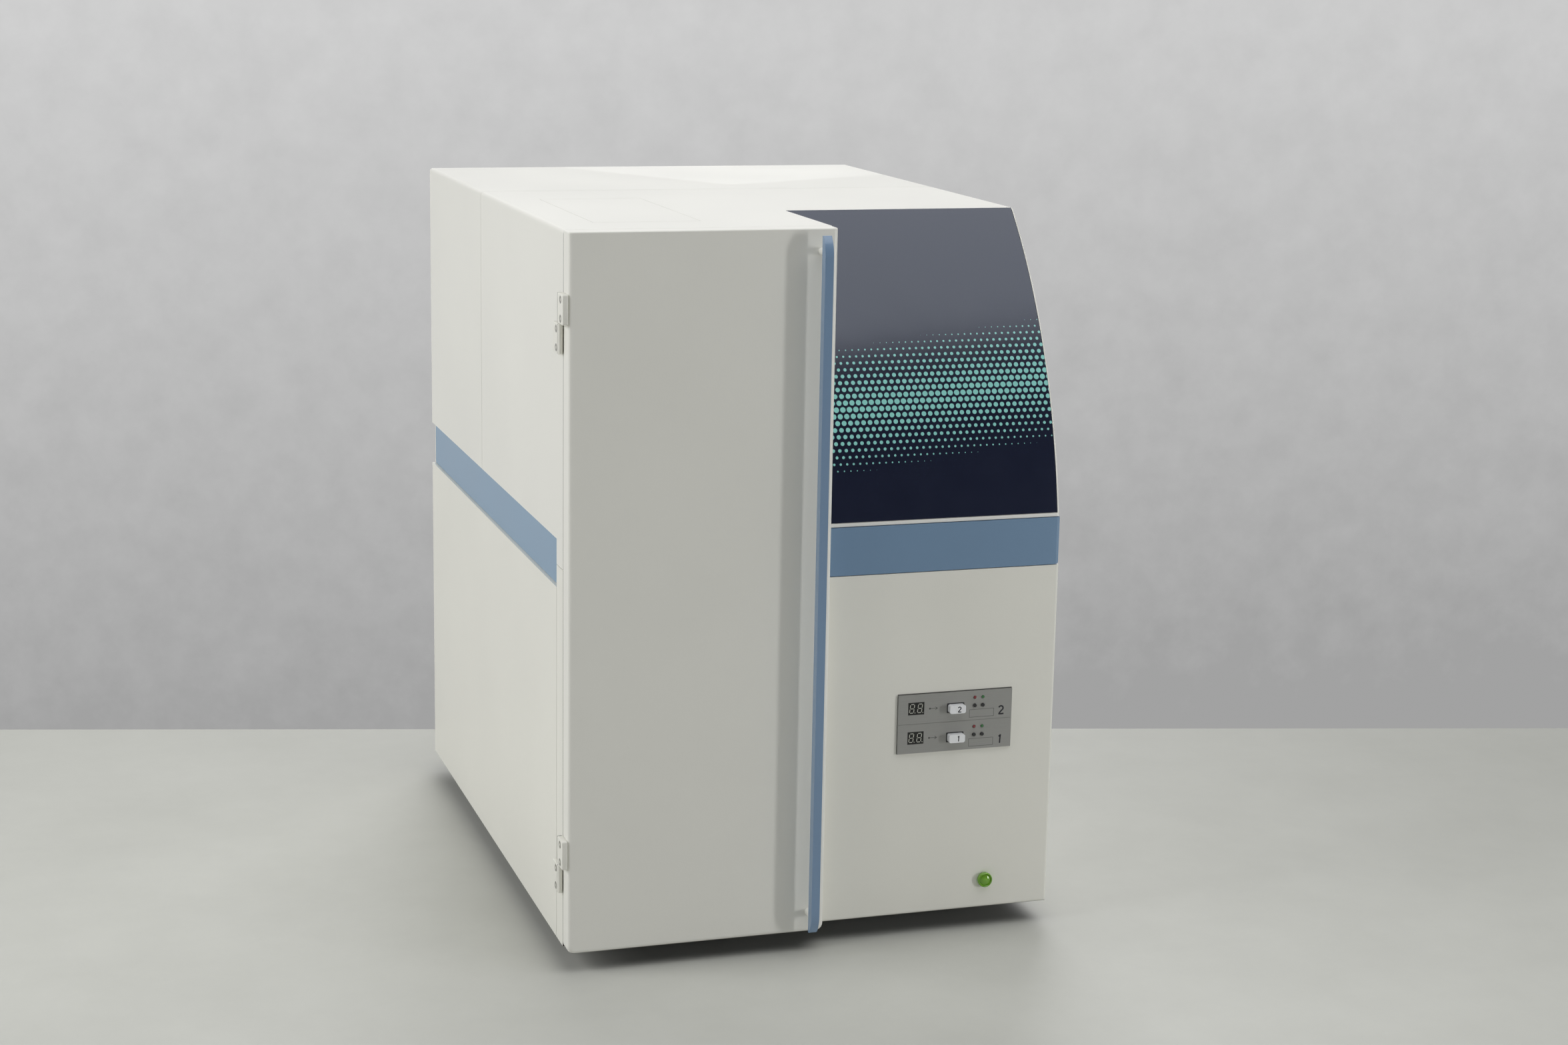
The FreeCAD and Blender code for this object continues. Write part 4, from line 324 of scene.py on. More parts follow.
# Blue stripes. Those at the sides are sheet set back behind the covers and sprayed with a glossier coat;
# their blue is lighter than the front one's, and that lighter blue is painted sheen from the light at the
# left. The one in front is a shallow moulding between hood and lower panel.
stripe_blue = sprayed("stripe_blue", (0.175, 0.285, 0.43), 0.40)
# Painted sheen: the side stripes' blue is a lighter copy of the front stripe's.
stripe_gloss_and_painted_sheen = sprayed("stripe_gloss_and_painted_sheen", (0.225, 0.360, 0.510), 0.36, coat=0.4)
dress(stripe_blue, "front_stripe")
dress(stripe_gloss_and_painted_sheen, "side_stripes")

# Lower front panel. Sheet steel in the same cream as the sides, folded back at its edges, with
# a window for the two drives and a hole for the pilot lamp.
dress(cream_paint, "front_lower_panel")

# Top covers and hatch. Structural foam mouldings in cream, a little glossier than the sheet.
# The covers meet at a seam behind the tower, and the hatch lies in a rebate over the rack.
cream_moulding = sprayed("cream_moulding", (0.845, 0.838, 0.785), 0.38, 620.0, 0.00003)
dress(cream_moulding, "front_top_cover", "rear_top_cover", "top_hatch")

# Dark printed sheet on the hood. Polycarbonate, printed midnight blue from behind, with
# a band of round dots in sea green that shrink towards both edges of the band.
hood_foot = np.array([-0.2663, 0.3566])
hood_crest = np.array([-0.1417, 0.6020])
hood_radius = 0.435


def hood_middle():
    """Centre of the hood's arc: from the middle of the chord, square to it, by the sag."""
    chord = hood_crest - hood_foot
    length = np.hypot(*chord)
    square = np.array([chord[1], -chord[0]]) / length
    return (hood_foot + hood_crest) / 2 + square * math.sqrt(hood_radius**2 - length**2 / 4)


def skin(points, loop=False):
    """Faces over a grid of points with rows along the piece and columns round it: each point
    joins the next in its row and in the row after. End rows get flat caps unless the rows
    make a loop. The faces are turned outwards by the sign of the volume that they hold."""
    rows, columns = points.shape[:2]
    index = np.arange(rows * columns).reshape(rows, columns)
    here = index if loop else index[:-1]
    there = np.roll(index, -1, axis=0) if loop else index[1:]
    quads = np.stack([here, np.roll(here, -1, 1), np.roll(there, -1, 1), there], -1)
    faces = [quads.reshape(-1, 4)]
    if not loop:
        faces += [index[:1, ::-1], index[-1:]]
    points = points.reshape(-1, 3)
    held = sum(
        np.einsum(
            "ij,ij->", points[face[:, :1]][:, 0] - points[0],
            np.cross(points[face[:, k]] - points[0], points[face[:, k + 1]] - points[0]),
        )
        for face in faces
        for k in range(1, face.shape[1] - 1)
    )
    if held < 0:
        faces = [face[:, ::-1] for face in faces]
    return points, faces


def make_piece(name, skins, finish, body, stands_for=(), soft=40.0):
    """One piece of the counter from several skins, smooth except at edges over an angle."""
    starts = np.cumsum([0] + [len(points) for points, faces in skins])
    rows = []
    for start, (points, faces) in zip(starts, skins):
        for block in faces:
            rows += (block + start).tolist()
    mesh = bpy.data.meshes.new(name)
    mesh.from_pydata(np.concatenate([points for points, faces in skins]).tolist(), [], rows)
    mesh.shade_smooth()
    mesh.set_sharp_from_angle(angle=math.radians(soft))
    mesh.materials.append(finish)
    made = put_object(name, mesh)
    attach(made, body)
    if stands_for:
        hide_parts(*stands_for)
    return made


sheet_low, sheet_ledge, sheet_high = 0.3599, 0.6000, 0.6018
sheet_left, sheet_right = 0.0069, 0.2099
sheet_thickness = 0.0007
sheet_proud = 0.00006
dot_pitch = 0.0056


def printed_sheet():
    """The sheet's front is an arc just proud of the hood: its angle runs evenly from the foot
    to the crest, and across it runs evenly from left to right. The back is the same grid on
    a smaller radius, and above the hood's ledge on the hood's own, where the sheet is a film.
    The outer columns are drawn in to round its edge."""
    centre = hood_middle()
    angle = [math.asin((z - centre[1]) / hood_radius) for z in (sheet_low, sheet_ledge, sheet_high)]
    rows = np.concatenate([np.linspace(angle[0], angle[1], 49), [angle[1] + 0.00005, angle[2]]])
    front = np.full(len(rows), hood_radius + sheet_proud)
    back = np.where(rows > angle[1], hood_radius + sheet_proud / 4, hood_radius - sheet_thickness)
    rim = 0.0002
    drawn_in = front - np.minimum(rim, (front - back) / 2)
    columns = np.array([sheet_left, sheet_left + rim, sheet_right - rim, sheet_right])
    radius = np.stack([drawn_in, front, front, drawn_in, back, back, back, back], -1)
    points = np.empty((len(rows), 8, 3))
    points[..., 0] = np.concatenate([columns, columns[::-1]])
    points[..., 1] = centre[0] - radius * np.cos(rows)[:, None]
    points[..., 2] = centre[1] + radius * np.sin(rows)[:, None]
    return points, rows - angle[0]


points, angles = printed_sheet()
midnight = bpy.data.materials.new("printed_midnight_blue")
midnight.use_nodes = True
printed = make_piece(
    "printed_sheet", [skin(points)], midnight, "instrument", ["graphic_panel"], 30.0
)
layout = printed.data.uv_layers.new(name="print")
corner = np.empty(len(printed.data.loops), int)
printed.data.loops.foreach_get("vertex_index", corner)
print_place = np.stack(
    [points[..., 0] - sheet_left, np.repeat((angles * hood_radius)[:, None], 8, 1)], -1
).reshape(-1, 2) / dot_pitch
layout.data.foreach_set("uv", print_place[corner].astype(np.float32).ravel())

tree = midnight.node_tree
shader = tree.nodes["Principled BSDF"]


def reckon(operation, *values):
    """One step of arithmetic on numbers that vary over the print."""
    step = put_node(tree, "Math", dict(enumerate(values)), operation=operation)
    return step.outputs[0]


printed_at = put_node(tree, "SeparateXYZ", {0: put_node(tree, "UVMap", uv_map="print").outputs[0]})
column, row = printed_at.outputs["X"], printed_at.outputs["Y"]
row_number = reckon("FLOOR", row)
shift = reckon("MULTIPLY", reckon("MODULO", row_number, 2.0), 0.5)
shifted = reckon("ADD", column, shift)
from_side = reckon("SUBTRACT", reckon("FRACT", shifted), 0.5)
from_foot = reckon("SUBTRACT", reckon("FRACT", row), 0.5)
apart = reckon(
    "SQRT",
    reckon("ADD", reckon("POWER", from_side, 2.0), reckon("POWER", from_foot, 2.0)),
)
band_middle = reckon("ADD", reckon("MULTIPLY", reckon("FLOOR", shifted), 0.12), 15.5)
band_half = 9.5
from_band = reckon("ABSOLUTE", reckon("SUBTRACT", row_number, band_middle))
fading = reckon("SUBTRACT", 1.0, reckon("DIVIDE", from_band, band_half))
dot_radius = reckon("MULTIPLY", reckon("SQRT", reckon("MAXIMUM", fading, 0.0)), 0.42)
dots = put_node(
    tree, "MapRange", {"Value": reckon("SUBTRACT", dot_radius, apart), 1: -0.02, 2: 0.03, 3: 0.0, 4: 1.0}
)
place = put_node(tree, "TexCoord").outputs["Object"]
smears = put_node(tree, "TexNoise", {"Vector": place, "Scale": 30.0, "Detail": 6.0})
ground = put_node(
    tree,
    "Mix",
    {0: smears.outputs["Fac"], 6: (0.0032, 0.0058, 0.024, 1.0), 7: (0.0046, 0.0078, 0.029, 1.0)},
    data_type="RGBA",
)
ink = put_node(
    tree,
    "Mix",
    {0: dots.outputs[0], 6: ground.outputs[2], 7: (0.30, 0.72, 0.66, 1.0)},
    data_type="RGBA",
)
tree.links.new(ink.outputs[2], shader.inputs["Base Color"])
gloss = put_node(tree, "MapRange", {"Value": smears.outputs["Fac"], 3: 0.17, 4: 0.27})
tree.links.new(gloss.outputs[0], shader.inputs["Roughness"])
shader.inputs["Specular IOR Level"].default_value = 0.85
shader.inputs["Specular Tint"].default_value = (0.84, 0.90, 1.0, 1.0)
leather = put_node(tree, "TexNoise", {"Vector": place, "Scale": 1800.0, "Detail": 2.0})
bump = put_node(tree, "Bump", {"Distance": 0.00001, "Height": leather.outputs["Fac"]})
tree.links.new(bump.outputs[0], shader.inputs["Normal"])

# Tower frame, partition and rear panel. Painted steel round the doorway, bare galvanised
# sheet between the tower and the bay, and a painted plate across the back.
galvanised = machined(
    "galvanised_sheet", (0.60, 0.61, 0.62), 0.42, (60.0, 60.0, 60.0), cloud=0.14, metal=0.55
)
dress(cream_paint, "tower_frame", "rear_panel")
dress(galvanised, "tower_partition")

# Door. A moulded tray hung on the left, with a brushed sheet liner and a rubber seal let into
# its back. The two posts under the handle are moulded in the same cream.
dress(cream_moulding, "door_shell", "handle_posts")
brushed_liner = machined("liner_sheet", (0.72, 0.73, 0.74), 0.38, (40.0, 40.0, 900.0), metal=0.5)
dress(brushed_liner, "door_liner")
dress(black_rubber, "door_gasket")

# Handle. A full height aluminium bar, sprayed a deeper blue than the stripes and lacquered,
# and screwed to its posts from inside the door.
handle_blue = sprayed("handle_blue", (0.193, 0.300, 0.455), 0.34, coat=0.5)
dress(handle_blue, "handle_bar")

# Door magnet and switch. A black moulded catch and a black switch body with a white plunger
# are fixed behind the frame's inner jamb, where the closed door meets them.
moulded_black = sprayed("moulded_black", (0.025, 0.025, 0.027), 0.45, 1200.0, 0.00003)
moulded_white = sprayed("moulded_white", (0.89, 0.90, 0.925), 0.28, 900.0, 0.00001, coat=0.3)
dress(moulded_black, "door_magnet", "door_switch")
dress(moulded_white, "switch_plunger")


# Hinges. Lift-off hinges with cream painted leaves, the door's above the body's, each held
# by two countersunk screws with hexagon sockets.
def rounded_block(low, high, axis, corner, edge, steps=5):
    """A closed block. Seen along one axis its outline is a rectangle with quarter circles of
    the corner radius; at both ends it draws in along a quarter circle of the edge radius."""
    low, high = np.array(low, float), np.array(high, float)
    flat = [k for k in range(3) if k != axis]
    centre, half = (low + high) / 2, (high - low) / 2
    quarter = np.linspace(0.0, np.pi / 2, steps + 1)
    turn = (quarter + np.pi / 2 * np.arange(4)[:, None]).ravel()
    signs = np.repeat([[1, 1], [-1, 1], [-1, -1], [1, -1]], steps + 1, axis=0)
    inset = edge * (1 - np.sin(quarter))
    rise = edge * (1 - np.cos(quarter))
    inset = np.concatenate([inset, inset[::-1]])
    depth = np.concatenate([low[axis] + rise, high[axis] - rise[::-1]])
    radius = np.maximum(corner - inset, 0.0)[:, None]
    core = half[flat] - inset[:, None] - radius
    circle = np.stack([np.cos(turn), np.sin(turn)], -1)
    points = np.empty((len(depth), len(turn), 3))
    points[..., flat] = centre[flat] + core[:, None] * signs + radius[:, None] * circle
    points[..., axis] = depth[:, None]
    return skin(points)


def turned(profile, centre, axis, steps=36):
    """A turned part: pairs of distance from the axis and place along it, carried round."""
    flat = [k for k in range(3) if k != axis]
    profile = np.array(profile, float)
    turn = np.linspace(0.0, 2 * np.pi, steps, endpoint=False)
    points = np.empty((len(profile), steps, 3))
    points[..., flat[0]] = centre[flat[0]] + profile[:, :1] * np.cos(turn)
    points[..., flat[1]] = centre[flat[1]] + profile[:, :1] * np.sin(turn)
    points[..., axis] = centre[axis] + profile[:, 1:]
    return skin(points)


def socket_screw(centre, axis, out, radius, socket=0.45):
    """A screw head: a low rim, a flat top and a hexagon well. The well's radius at an angle
    is the flat's distance over the cosine of the angle from the nearest flat's middle."""
    steps = 36
    turn = np.linspace(0.0, 2 * np.pi, steps, endpoint=False)
    hexagon = radius * socket / np.cos((turn + np.pi / 6) % (np.pi / 3) - np.pi / 6)
    circle = np.ones(steps)
    rim = circle * radius
    reach = np.stack([rim, rim, rim * 0.93, hexagon, hexagon, circle * 1e-5])
    along = np.array([-0.0006, 0.0, 0.0001, 0.0001, -0.0011, -0.0012])[:, None] * out
    flat = [k for k in range(3) if k != axis]
    points = np.empty((len(along), steps, 3))
    points[..., flat[0]] = centre[flat[0]] + reach * np.cos(turn)
    points[..., flat[1]] = centre[flat[1]] + reach * np.sin(turn)
    points[..., axis] = centre[axis] + along
    return skin(points)


hinge_face = -0.21705
hinge_axis = (-0.2151, -0.26525)
door_leaves, body_leaves, leaf_screws = [], [], {"door": [], "instrument": []}
for middle_height in (0.0887, 0.5297):
    for sign, leaves, body, near, far, screw in (
        (1, door_leaves, "door", -0.2817, -0.26515, -0.2740),
        (-1, body_leaves, "instrument", -0.2647, -0.2486, -0.2596),
    ):
        ends = sorted((middle_height + sign * 0.00025, middle_height + sign * 0.0242))
        leaves.append(
            rounded_block(
                (hinge_face, near, ends[0]), (-0.2125, far, ends[1]), 0, 0.0014, 0.0007
            )
        )
        round_off = 0.0005
        barrel = [
            (0.0016, ends[0]),
            (0.0022, ends[0] + round_off),
            (0.0022, ends[1] - round_off),
            (0.0016, ends[1]),
        ]
        leaves.append(turned(barrel, (*hinge_axis, 0.0), 2, 24))
        for step in (-0.0074, 0.0074):
            centre = (hinge_face - 0.00005, screw, sum(ends) / 2 + step)
            leaf_screws[body].append(socket_screw(centre, 0, -1, 0.0031))
make_piece("hinge_leaves_of_door", door_leaves, cream_paint, "door", ["hinge_door_leaves"])
make_piece(
    "hinge_leaves_of_body", body_leaves, cream_paint, "instrument", ["hinge_body_leaves"]
)
nickel = machined("nickel_plate", (0.40, 0.39, 0.365), 0.34, (900.0, 900.0, 900.0))
make_piece("hinge_screws_of_door", leaf_screws["door"], nickel, "door")
make_piece("hinge_screws_of_body", leaf_screws["instrument"], nickel, "instrument")

# Plate rack. A frame of anodised aluminium sheet with a folded ledge on each side for every
# microplate. It stands on the lift's beam.
anodised = machined("anodised_sheet", (0.66, 0.67, 0.69), 0.36, (60.0, 60.0, 1400.0), metal=0.4)
dress(anodised, "rack_frame", "rack_ledges")

# Lift. Two ground steel rods between base and top bracket, and a milled aluminium beam that
# runs on them with bushes of sintered bronze.
ground_steel = machined("ground_steel", (0.66, 0.66, 0.67), 0.18, (300.0, 300.0, 2400.0))
milled = machined("milled_aluminium", (0.74, 0.75, 0.76), 0.33, (900.0, 60.0, 60.0), metal=0.7)
sintered_bronze = machined("sintered_bronze", (0.52, 0.33, 0.14), 0.40, (700.0, 700.0, 700.0))
dress(ground_steel, "guide_rods")
dress(milled, "top_bracket", "lift_carriage")
dress(sintered_bronze, "carriage_bushes")

# Motors, pulleys and belt. The motors are black with an aluminium bell at each end, the lift's
# lying on the base and the tray's hanging from the deck.
dress(moulded_black, "motors")
bell_corner, bell_edge = 0.004, 0.0004
bells = []
for near, far in ((-0.1881, -0.1800), (-0.1540, -0.1459)):
    low, high = (near, -0.1194, 0.0222), (far, -0.0766, 0.0648)
    bells.append(rounded_block(low, high, 0, bell_corner, bell_edge))
for near, far in ((0.2435, 0.2516), (0.2778, 0.2859)):
    low, high = (-0.1250, 0.2148, near), (-0.0823, 0.2552, far)
    bells.append(rounded_block(low, high, 2, bell_corner, bell_edge))
make_piece("motor_bells", bells, milled, "instrument")
dress(milled, "drive_pulley", "idler_pulley")
dress(black_rubber, "lift_belt")

# Transfer deck, rails and tray. The deck is anodised sheet on ground posts, and carries two
# folded rails between which the black moulded tray takes a plate to the tubes.
dress(anodised, "transfer_deck", "tray_rails")
dress(ground_steel, "support_posts")
dress(moulded_black, "plate_tray")

# Lead shields and photomultipliers. Two cast blocks of lead, painted grey, hold the glass
# tubes in black sleeves, over and under the plate. Each tube plugs into a brown base.
painted_lead = sprayed("painted_lead", (0.16, 0.165, 0.175), 0.6, 420.0, 0.00012, 0.08)
tube_sleeve = sprayed("tube_sleeve", (0.018, 0.018, 0.02), 0.35, 2000.0, 0.00002)
dress(painted_lead, "lead_shields")
dress(tube_sleeve, "photomultipliers")
base_profile = [
    (0.0006, -0.0015), (0.0118, -0.0015), (0.0145, 0.0), (0.0145, 0.0105), (0.0138, 0.0110),
    (0.0138, 0.0120), (0.0006, 0.0120),
]
tube_columns, tube_rows = (-0.1406, -0.1036, -0.0666), (0.0815, 0.1185)
lower_tube_ends = 0.2020
tube_bases = [
    turned(base_profile, (x, y, lower_tube_ends), 2, 32) for x in tube_columns for y in tube_rows
]
socket_brown = sprayed("socket_brown", (0.085, 0.035, 0.018), 0.35, 900.0, 0.00002)
make_piece("tube_bases", tube_bases, socket_brown, "instrument")

# Cards and power supply in the bay. The cards stand in the base's slots and carry three columns
# of packaged circuits and a row of capacitors; the board over the tubes carries amplifiers.
solder_mask = sprayed("solder_mask", (0.015, 0.13, 0.055), 0.30, 2600.0, 0.00004, 0.12, 0.5)
dress(solder_mask, "counter_boards")
dress(galvanised, "power_supply")


def swept(path, facing, outline, loop=False):
    """An outline of (sideways, outwards) pairs carried along a path that lies in a plane.
    Sideways is square to the path and to the plane's normal, taken from central differences."""
    path = np.array(path, float)
    if loop:
        ahead = np.roll(path, -1, 0) - np.roll(path, 1, 0)
    else:
        ahead = np.gradient(path, axis=0)
    ahead /= np.linalg.norm(ahead, axis=1)[:, None]
    facing = np.array(facing, float)
    side = np.cross(ahead, facing)
    outline = np.array(outline, float)
    points = (
        path[:, None]
        + side[:, None] * outline[None, :, :1]
        + facing[None, None] * outline[None, :, 1:]
    )
    return skin(points, loop)


def flat_stroke(width, thickness):
    """The outline of a raised stroke: a level foot, and a level top four fifths as wide."""
    half = width / 2
    return [(-half, 0.0), (half, 0.0), (half * 0.8, thickness), (-half * 0.8, thickness)]


card_faces = (0.0256, 0.0496, 0.0736, 0.0976, 0.1216, 0.1456)
card_front, card_back = -0.045, 0.105
package_columns = ((card_front, 0.030), (0.010, 0.018), (0.055, 0.034))
package_feet = 0.058 + 0.028 * np.arange(6)
package_wide, package_thick = 0.009, 0.0024
package_corner, package_edge = 0.0003, 0.0002
can = [(0.0001, 0.0), (0.0040, 0.0), (0.0040, 0.0095), (0.0036, 0.0100), (0.0001, 0.0100)]
can_pitch, can_height = 0.018, 0.232
packages, capacitors = [], []
for face in card_faces:
    for foot in package_feet:
        for near, long in package_columns:
            low = (face, near, foot)
            high = (face + package_thick, near + long, foot + package_wide)
            packages.append(rounded_block(low, high, 0, package_corner, package_edge))
    for near in np.arange(card_front, card_back, can_pitch):
        capacitors.append(turned(can, (face, near, can_height), 0, 20))
board_top, amplifier_top = 0.4119, 0.4145
for near in np.arange(-0.170, -0.040, 0.022):
    for back in (0.055, 0.085, 0.115):
        low, high = (near, back, board_top), (near + package_wide, back + 0.020, amplifier_top)
        packages.append(rounded_block(low, high, 2, package_corner, package_edge))
make_piece("circuit_packages", packages, moulded_black, "instrument")
capacitor_sleeve = sprayed("capacitor_sleeve", (0.03, 0.06, 0.17), 0.3, 900.0, 0.00001)
make_piece("card_capacitors", capacitors, capacitor_sleeve, "instrument")
supply_face, slot_foot, slot_head, slot_width = 0.1249, 0.045, 0.088, 0.003
towards_viewer = (0.0, -1.0, 0.0)
supply_slots = [
    swept(
        [(x, supply_face, slot_foot), (x, supply_face, slot_head)],
        towards_viewer, flat_stroke(slot_width, 0.00005),
    )
    for x in np.arange(0.070, 0.185, 0.008)
]
make_piece("supply_vents", supply_slots, moulded_black, "instrument")

# Drives. Two grey aluminium bezels, one over the other, each with a display, a frame for
# a label, two small lights over two keys, and a white memory stick in a black socket.
bezel_metal = machined(
    "bezel_metal", (0.34, 0.34, 0.325), 0.42, (70.0, 900.0, 2800.0), 0.00001, metal=0.25
)
dress(bezel_metal, "drive_bezels")
dress(galvanised, "drive_cases", "drive_cage")
display_black = sprayed("display_black", (0.006, 0.006, 0.006), 0.35, 900.0, 0.000004)
dress(display_black, "drive_indicators")
dress(moulded_black, "upper_left_button", "upper_right_button", "lower_left_button", "lower_right_button")
dress(moulded_white, "upper_usb_stick", "lower_usb_stick")

bezel_left = 0.0717
bezel_face = -0.2700
bezel_tops = {"upper": 0.2113, "lower": 0.1859}


def on_bezel(top, across, down, proud=0.0):
    """A point on a bezel from its distances from the left and top edges, in millimetres."""
    return (bezel_left + across / 1000, bezel_face - proud, top - down / 1000)


digit_lefts, digit_top = (9.9, 16.9), 8.3
wide, tall, lean_per_mm = 3.6, 3.7, 0.12
mitre = 0.13
display_depth = 0.00002
label_frame = [(63.6, 16.4), (85.5, 16.4), (85.5, 23.0), (63.6, 23.0)]
segments, rims = [], []
for top in bezel_tops.values():
    for digit_left in digit_lefts:
        for ends in (
            ((0, 0), (wide, 0)),
            ((0, tall), (wide, tall)),
            ((0, 2 * tall), (wide, 2 * tall)),
            ((0, 0), (0, tall)),
            ((wide, 0), (wide, tall)),
            ((0, tall), (0, 2 * tall)),
            ((wide, tall), (wide, 2 * tall)),
        ):
            line = np.array(ends, float)
            line += (line[::-1] - line) * mitre
            line[:, 0] += (2 * tall - line[:, 1]) * lean_per_mm + digit_left
            line[:, 1] += digit_top
            ends = [on_bezel(top, across, down, -display_depth) for across, down in line]
            segments.append(swept(ends, towards_viewer, flat_stroke(0.0007, 0.00006)))
        dot = on_bezel(top, digit_left + 4.9, digit_top + 2 * tall, -display_depth)
        segments.append(turned([(0.0004, 0.0), (0.0004, -0.00006)], dot, 1, 12))
    for corner, following in zip(label_frame, label_frame[1:] + label_frame[:1]):
        ends = [on_bezel(top, *corner), on_bezel(top, *following)]
        rims.append(swept(ends, towards_viewer, flat_stroke(0.0003, 0.00003)))
unlit = sprayed("unlit_segments", (0.55, 0.55, 0.49), 0.4)
make_piece("display_digits", segments, unlit, "instrument")
engraved = sprayed("engraved_line", (0.08, 0.08, 0.078), 0.6)
make_piece("bezel_label_frames", rims, engraved, "instrument")

arrow_lines = (
    ((28.0, 12.9), (34.6, 12.9)),
    ((32.9, 11.7), (34.9, 13.0)),
    ((34.9, 12.8), (32.9, 14.1)),
)
arrows, sockets = [], []
for top in bezel_tops.values():
    for ends in arrow_lines:
        points = [on_bezel(top, across, down) for across, down in ends]
        arrows.append(swept(points, towards_viewer, flat_stroke(0.0004, 0.00003)))
    arrows.append(turned([(0.0008, 0.0), (0.0008, -0.00003)], on_bezel(top, 28.0, 12.9), 1, 16))
    low, high = on_bezel(top, 43.2, 18.0, 0.00002), on_bezel(top, 58.8, 9.4, -0.0003)
    sockets.append(rounded_block(low, high, 1, 0.0008, 0.00001))
make_piece("bezel_arrows", arrows, engraved, "instrument")
make_piece("stick_socket_frames", sockets, moulded_black, "instrument")


def marker_figure(figure, centre, tall, width, facing_y):
    """A figure one or two in marker strokes. One is a straight stroke with a short flag; two
    is a three quarter arc that runs into a slanting and a level stroke."""
    x, z = centre
    if figure == 1:
        lines = [[(-0.16, 0.30), (0.04, 0.5), (0.0, 0.0), (-0.02, -0.5)]]
    else:
        turn = np.linspace(math.radians(160), math.radians(-35), 12)
        bow = np.stack([0.27 * np.cos(turn), 0.22 + 0.26 * np.sin(turn)], -1)
        lines = [[*bow.tolist(), (-0.05, -0.2), (-0.28, -0.48), (0.34, -0.46)]]
    skins = []
    for line in lines:
        line = np.array(line, float)
        steps = np.linspace(0, len(line) - 1, 40)
        smooth = np.stack([np.interp(steps, np.arange(len(line)), line[:, k]) for k in (0, 1)], -1)
        path = np.stack(
            [x + smooth[:, 0] * tall, np.full(40, facing_y), z + smooth[:, 1] * tall], -1
        )
        skins.append(swept(path, towards_viewer, flat_stroke(width, 0.00005)))
    return skins


stick_front = -0.27587
marker_ink = sprayed("marker_ink", (0.012, 0.012, 0.02), 0.5)
for level, figure in (("upper", 2), ("lower", 1)):
    top = bezel_tops[level]
    place = on_bezel(top, 92.0, 18.4)
    make_piece(
        level + "_bezel_figure",
        marker_figure(figure, (place[0], place[2]), 0.0072, 0.0013, place[1]),
        marker_ink, "instrument",
    )
    grip = on_bezel(top, 52.3, 13.8)
    make_piece(
        level + "_stick_figure",
        marker_figure(figure, (grip[0], grip[2]), 0.0046, 0.0010, stick_front),
        marker_ink, level + "_stick",
    )

lens_radius, lens_rise, lens_sunk = 0.00138, 0.0006, 0.00025
lens_height = 5.8
turn = np.linspace(0.0, np.pi / 2 - 0.02, 7)
dome = np.stack([lens_radius * np.cos(turn), -lens_sunk - lens_rise * np.sin(turn)], -1)
dome = [(lens_radius, 0.001), *dome.tolist()]
red_lens = sprayed("red_lens", (0.20, 0.015, 0.02), 0.15, coat=1.0)
dull_green_lens = sprayed("dull_green_lens", (0.035, 0.16, 0.045), 0.15, coat=1.0)
for colour, across, lens in (("red", 68.2, red_lens), ("green", 75.4, dull_green_lens)):
    domes = [
        turned(dome, on_bezel(top, across, lens_height), 1, 24) for top in bezel_tops.values()
    ]
    make_piece(colour + "_lenses", domes, lens, "instrument")

# Pilot lamp. A clear green lens with a raised rim and a shallow dome, turned in one piece
# with its neck and pressed into the lower front panel.
clear_green = bpy.data.materials.new("clear_green")
clear_green.use_nodes = True
tree = clear_green.node_tree
shader = tree.nodes["Principled BSDF"]
place = put_node(tree, "TexCoord").outputs["Object"]
ripple = put_node(tree, "TexNoise", {"Vector": place, "Scale": 420.0, "Detail": 2.0})
tree.links.new(
    blend_colours(tree, ripple.outputs["Fac"], (0.16, 0.42, 0.022), (0.30, 0.62, 0.055)),
    shader.inputs["Base Color"],
)
shader.inputs["Roughness"].default_value = 0.12
shader.inputs["Transmission Weight"].default_value = 0.25
shader.inputs["Coat Weight"].default_value = 0.6
lamp_centre = (0.1543, -0.2682, 0.0433)
lens_profile = [
    (0.0054, 0.0240), (0.0054, 0.0062), (0.0079, 0.0060), (0.0079, 0.0022), (0.0054, 0.0020),
    (0.0054, 0.0), (0.0060, -0.0001), (0.0064, -0.0006), (0.0064, -0.0030), (0.0062, -0.0040),
    (0.0057, -0.0043), (0.0052, -0.0040), (0.00495, -0.0032), (0.0042, -0.0036), (0.0028, -0.0043),
    (0.0014, -0.0046), (0.0001, -0.0047),
]
make_piece(
    "pilot_lens", [turned(lens_profile, lamp_centre, 1, 48)], clear_green, "instrument",
    ["power_lamp"], 50.0,
)

# Fan. A black moulded frame and rotor behind the rear panel, with a guard of nickel plated
# wire rings outside it.
dress(moulded_black, "fan_frame", "fan_rotor")
dress(nickel, "fan_guard")

# Rear screws. Nickel plated screws with domed heads and a round recess hold the fan at its
# corners and the rear panel along its sides.
rear_face = 0.2945
screw_head = [
    (0.0034, -0.0002), (0.0034, 0.0005), (0.0029, 0.0011), (0.0017, 0.0013), (0.0014, 0.0006),
    (0.0001, 0.0005),
]
fan_x, fan_z, fan_reach = 0.110, 0.430, 0.0525
panel_reach = 0.2035
heights = (0.032, 0.168, 0.305, 0.448, 0.590)
screw_places = [(fan_x + x, fan_z + z) for x in (-fan_reach, fan_reach) for z in (-fan_reach, fan_reach)]
screw_places += [(x, z) for x in (-panel_reach, panel_reach) for z in heights]
screw_places += [(x, z) for x in (-0.068, 0.068) for z in (heights[0], heights[-1])]
rear_screws = [turned(screw_head, (x, rear_face, z), 1, 24) for x, z in screw_places]
make_piece("rear_screws", rear_screws, nickel, "instrument")

# Mains module. Inlet, fuse drawer and rocker switch are black mouldings that clip into one
# cut-out of the rear panel.
dress(moulded_black, "mains_inlet", "fuse_drawer", "mains_rocker")

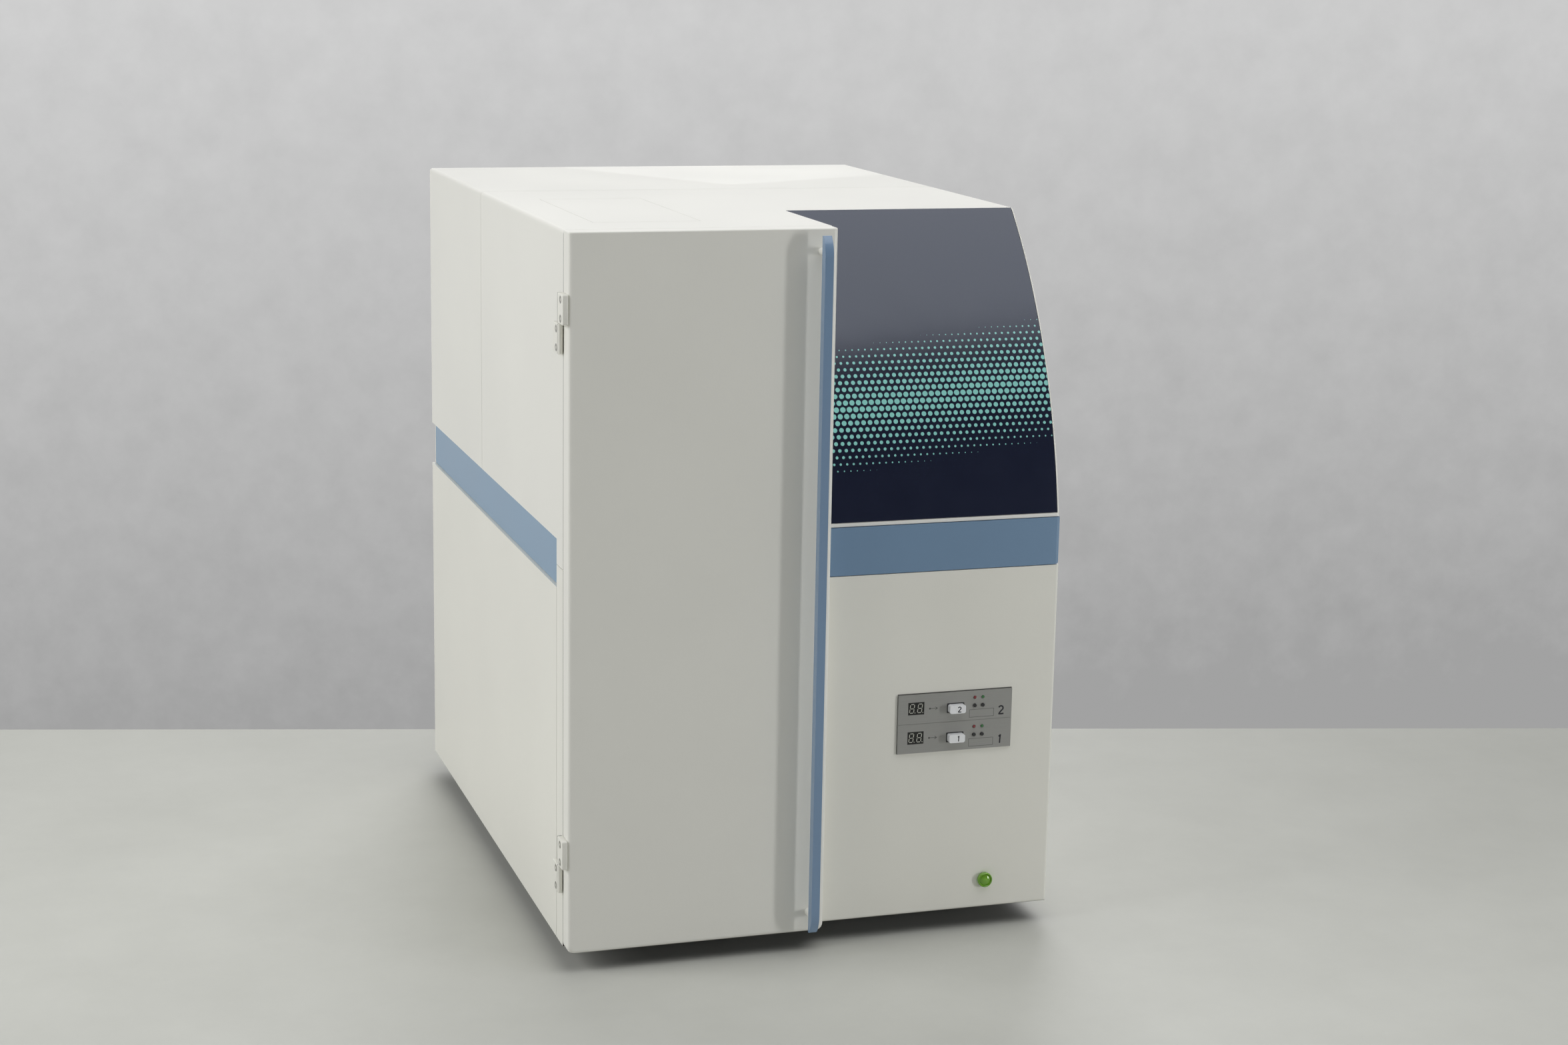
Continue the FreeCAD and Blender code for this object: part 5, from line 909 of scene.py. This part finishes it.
# Serial ports. Each has a pressed flange with two hexagon pillars, a shell that is wider at
# the top than at the bottom, and nine gilt pins in a black insert.
port_centre, port_levels = -0.120, (0.070, 0.100)
mouth_corners = [(0.0061, 0.0020, 0), (-0.0061, 0.0020, 1), (-0.0052, -0.0020, 2), (0.0052, -0.0020, 3)]
shell_wall = [(-0.0002, 0.0), (0.0002, 0.0), (0.0002, 0.0049), (-0.0002, 0.0049)]
pillar = [(0.0027, 0.0), (0.0027, 0.0036), (0.0015, 0.0039), (0.0015, 0.0020), (0.0001, 0.0020)]
pin = [(0.0005, 0.0), (0.0005, 0.0020), (0.0002, 0.0025), (0.00005, 0.0025)]
pin_pitch = 0.00277
pin_places = [(step * pin_pitch - 0.00554, 0.00142) for step in range(5)]
pin_places += [(step * pin_pitch - 0.00415, -0.00142) for step in range(4)]
port_plates, port_inserts, port_pins = [], [], []
for level in port_levels:
    mouth = []
    for x, z, quarter in mouth_corners:
        turn = np.linspace(0.0, np.pi / 2, 7) + np.pi / 2 * quarter
        arc = np.stack([x + 0.002 * np.cos(turn), z + 0.002 * np.sin(turn)], -1)
        mouth += [(port_centre + x, rear_face, level + z) for x, z in arc]
    port_plates.append(swept(mouth, (0.0, 1.0, 0.0), shell_wall, True))
    low = (port_centre - 0.0154, rear_face + 0.0001, level - 0.0062)
    high = (port_centre + 0.0154, rear_face + 0.0010, level + 0.0062)
    port_plates.append(rounded_block(low, high, 1, 0.002, 0.0002))
    for side in (-0.0125, 0.0125):
        port_plates.append(turned(pillar, (port_centre + side, rear_face + 0.0009, level), 1, 6))
    low = (port_centre - 0.0072, rear_face - 0.0100, level - 0.0036)
    high = (port_centre + 0.0072, rear_face + 0.0020, level + 0.0036)
    port_inserts.append(rounded_block(low, high, 1, 0.0018, 0.0002))
    for x, z in pin_places:
        port_pins.append(turned(pin, (port_centre + x, rear_face + 0.0019, level + z), 1, 10))
make_piece("port_shells", port_plates, nickel, "instrument", ["serial_ports"], 30.0)
make_piece("port_inserts", port_inserts, moulded_black, "instrument")
gilt = machined("gilt_pins", (0.83, 0.62, 0.25), 0.25, (900.0, 900.0, 900.0))
make_piece("port_pins", port_pins, gilt, "instrument")
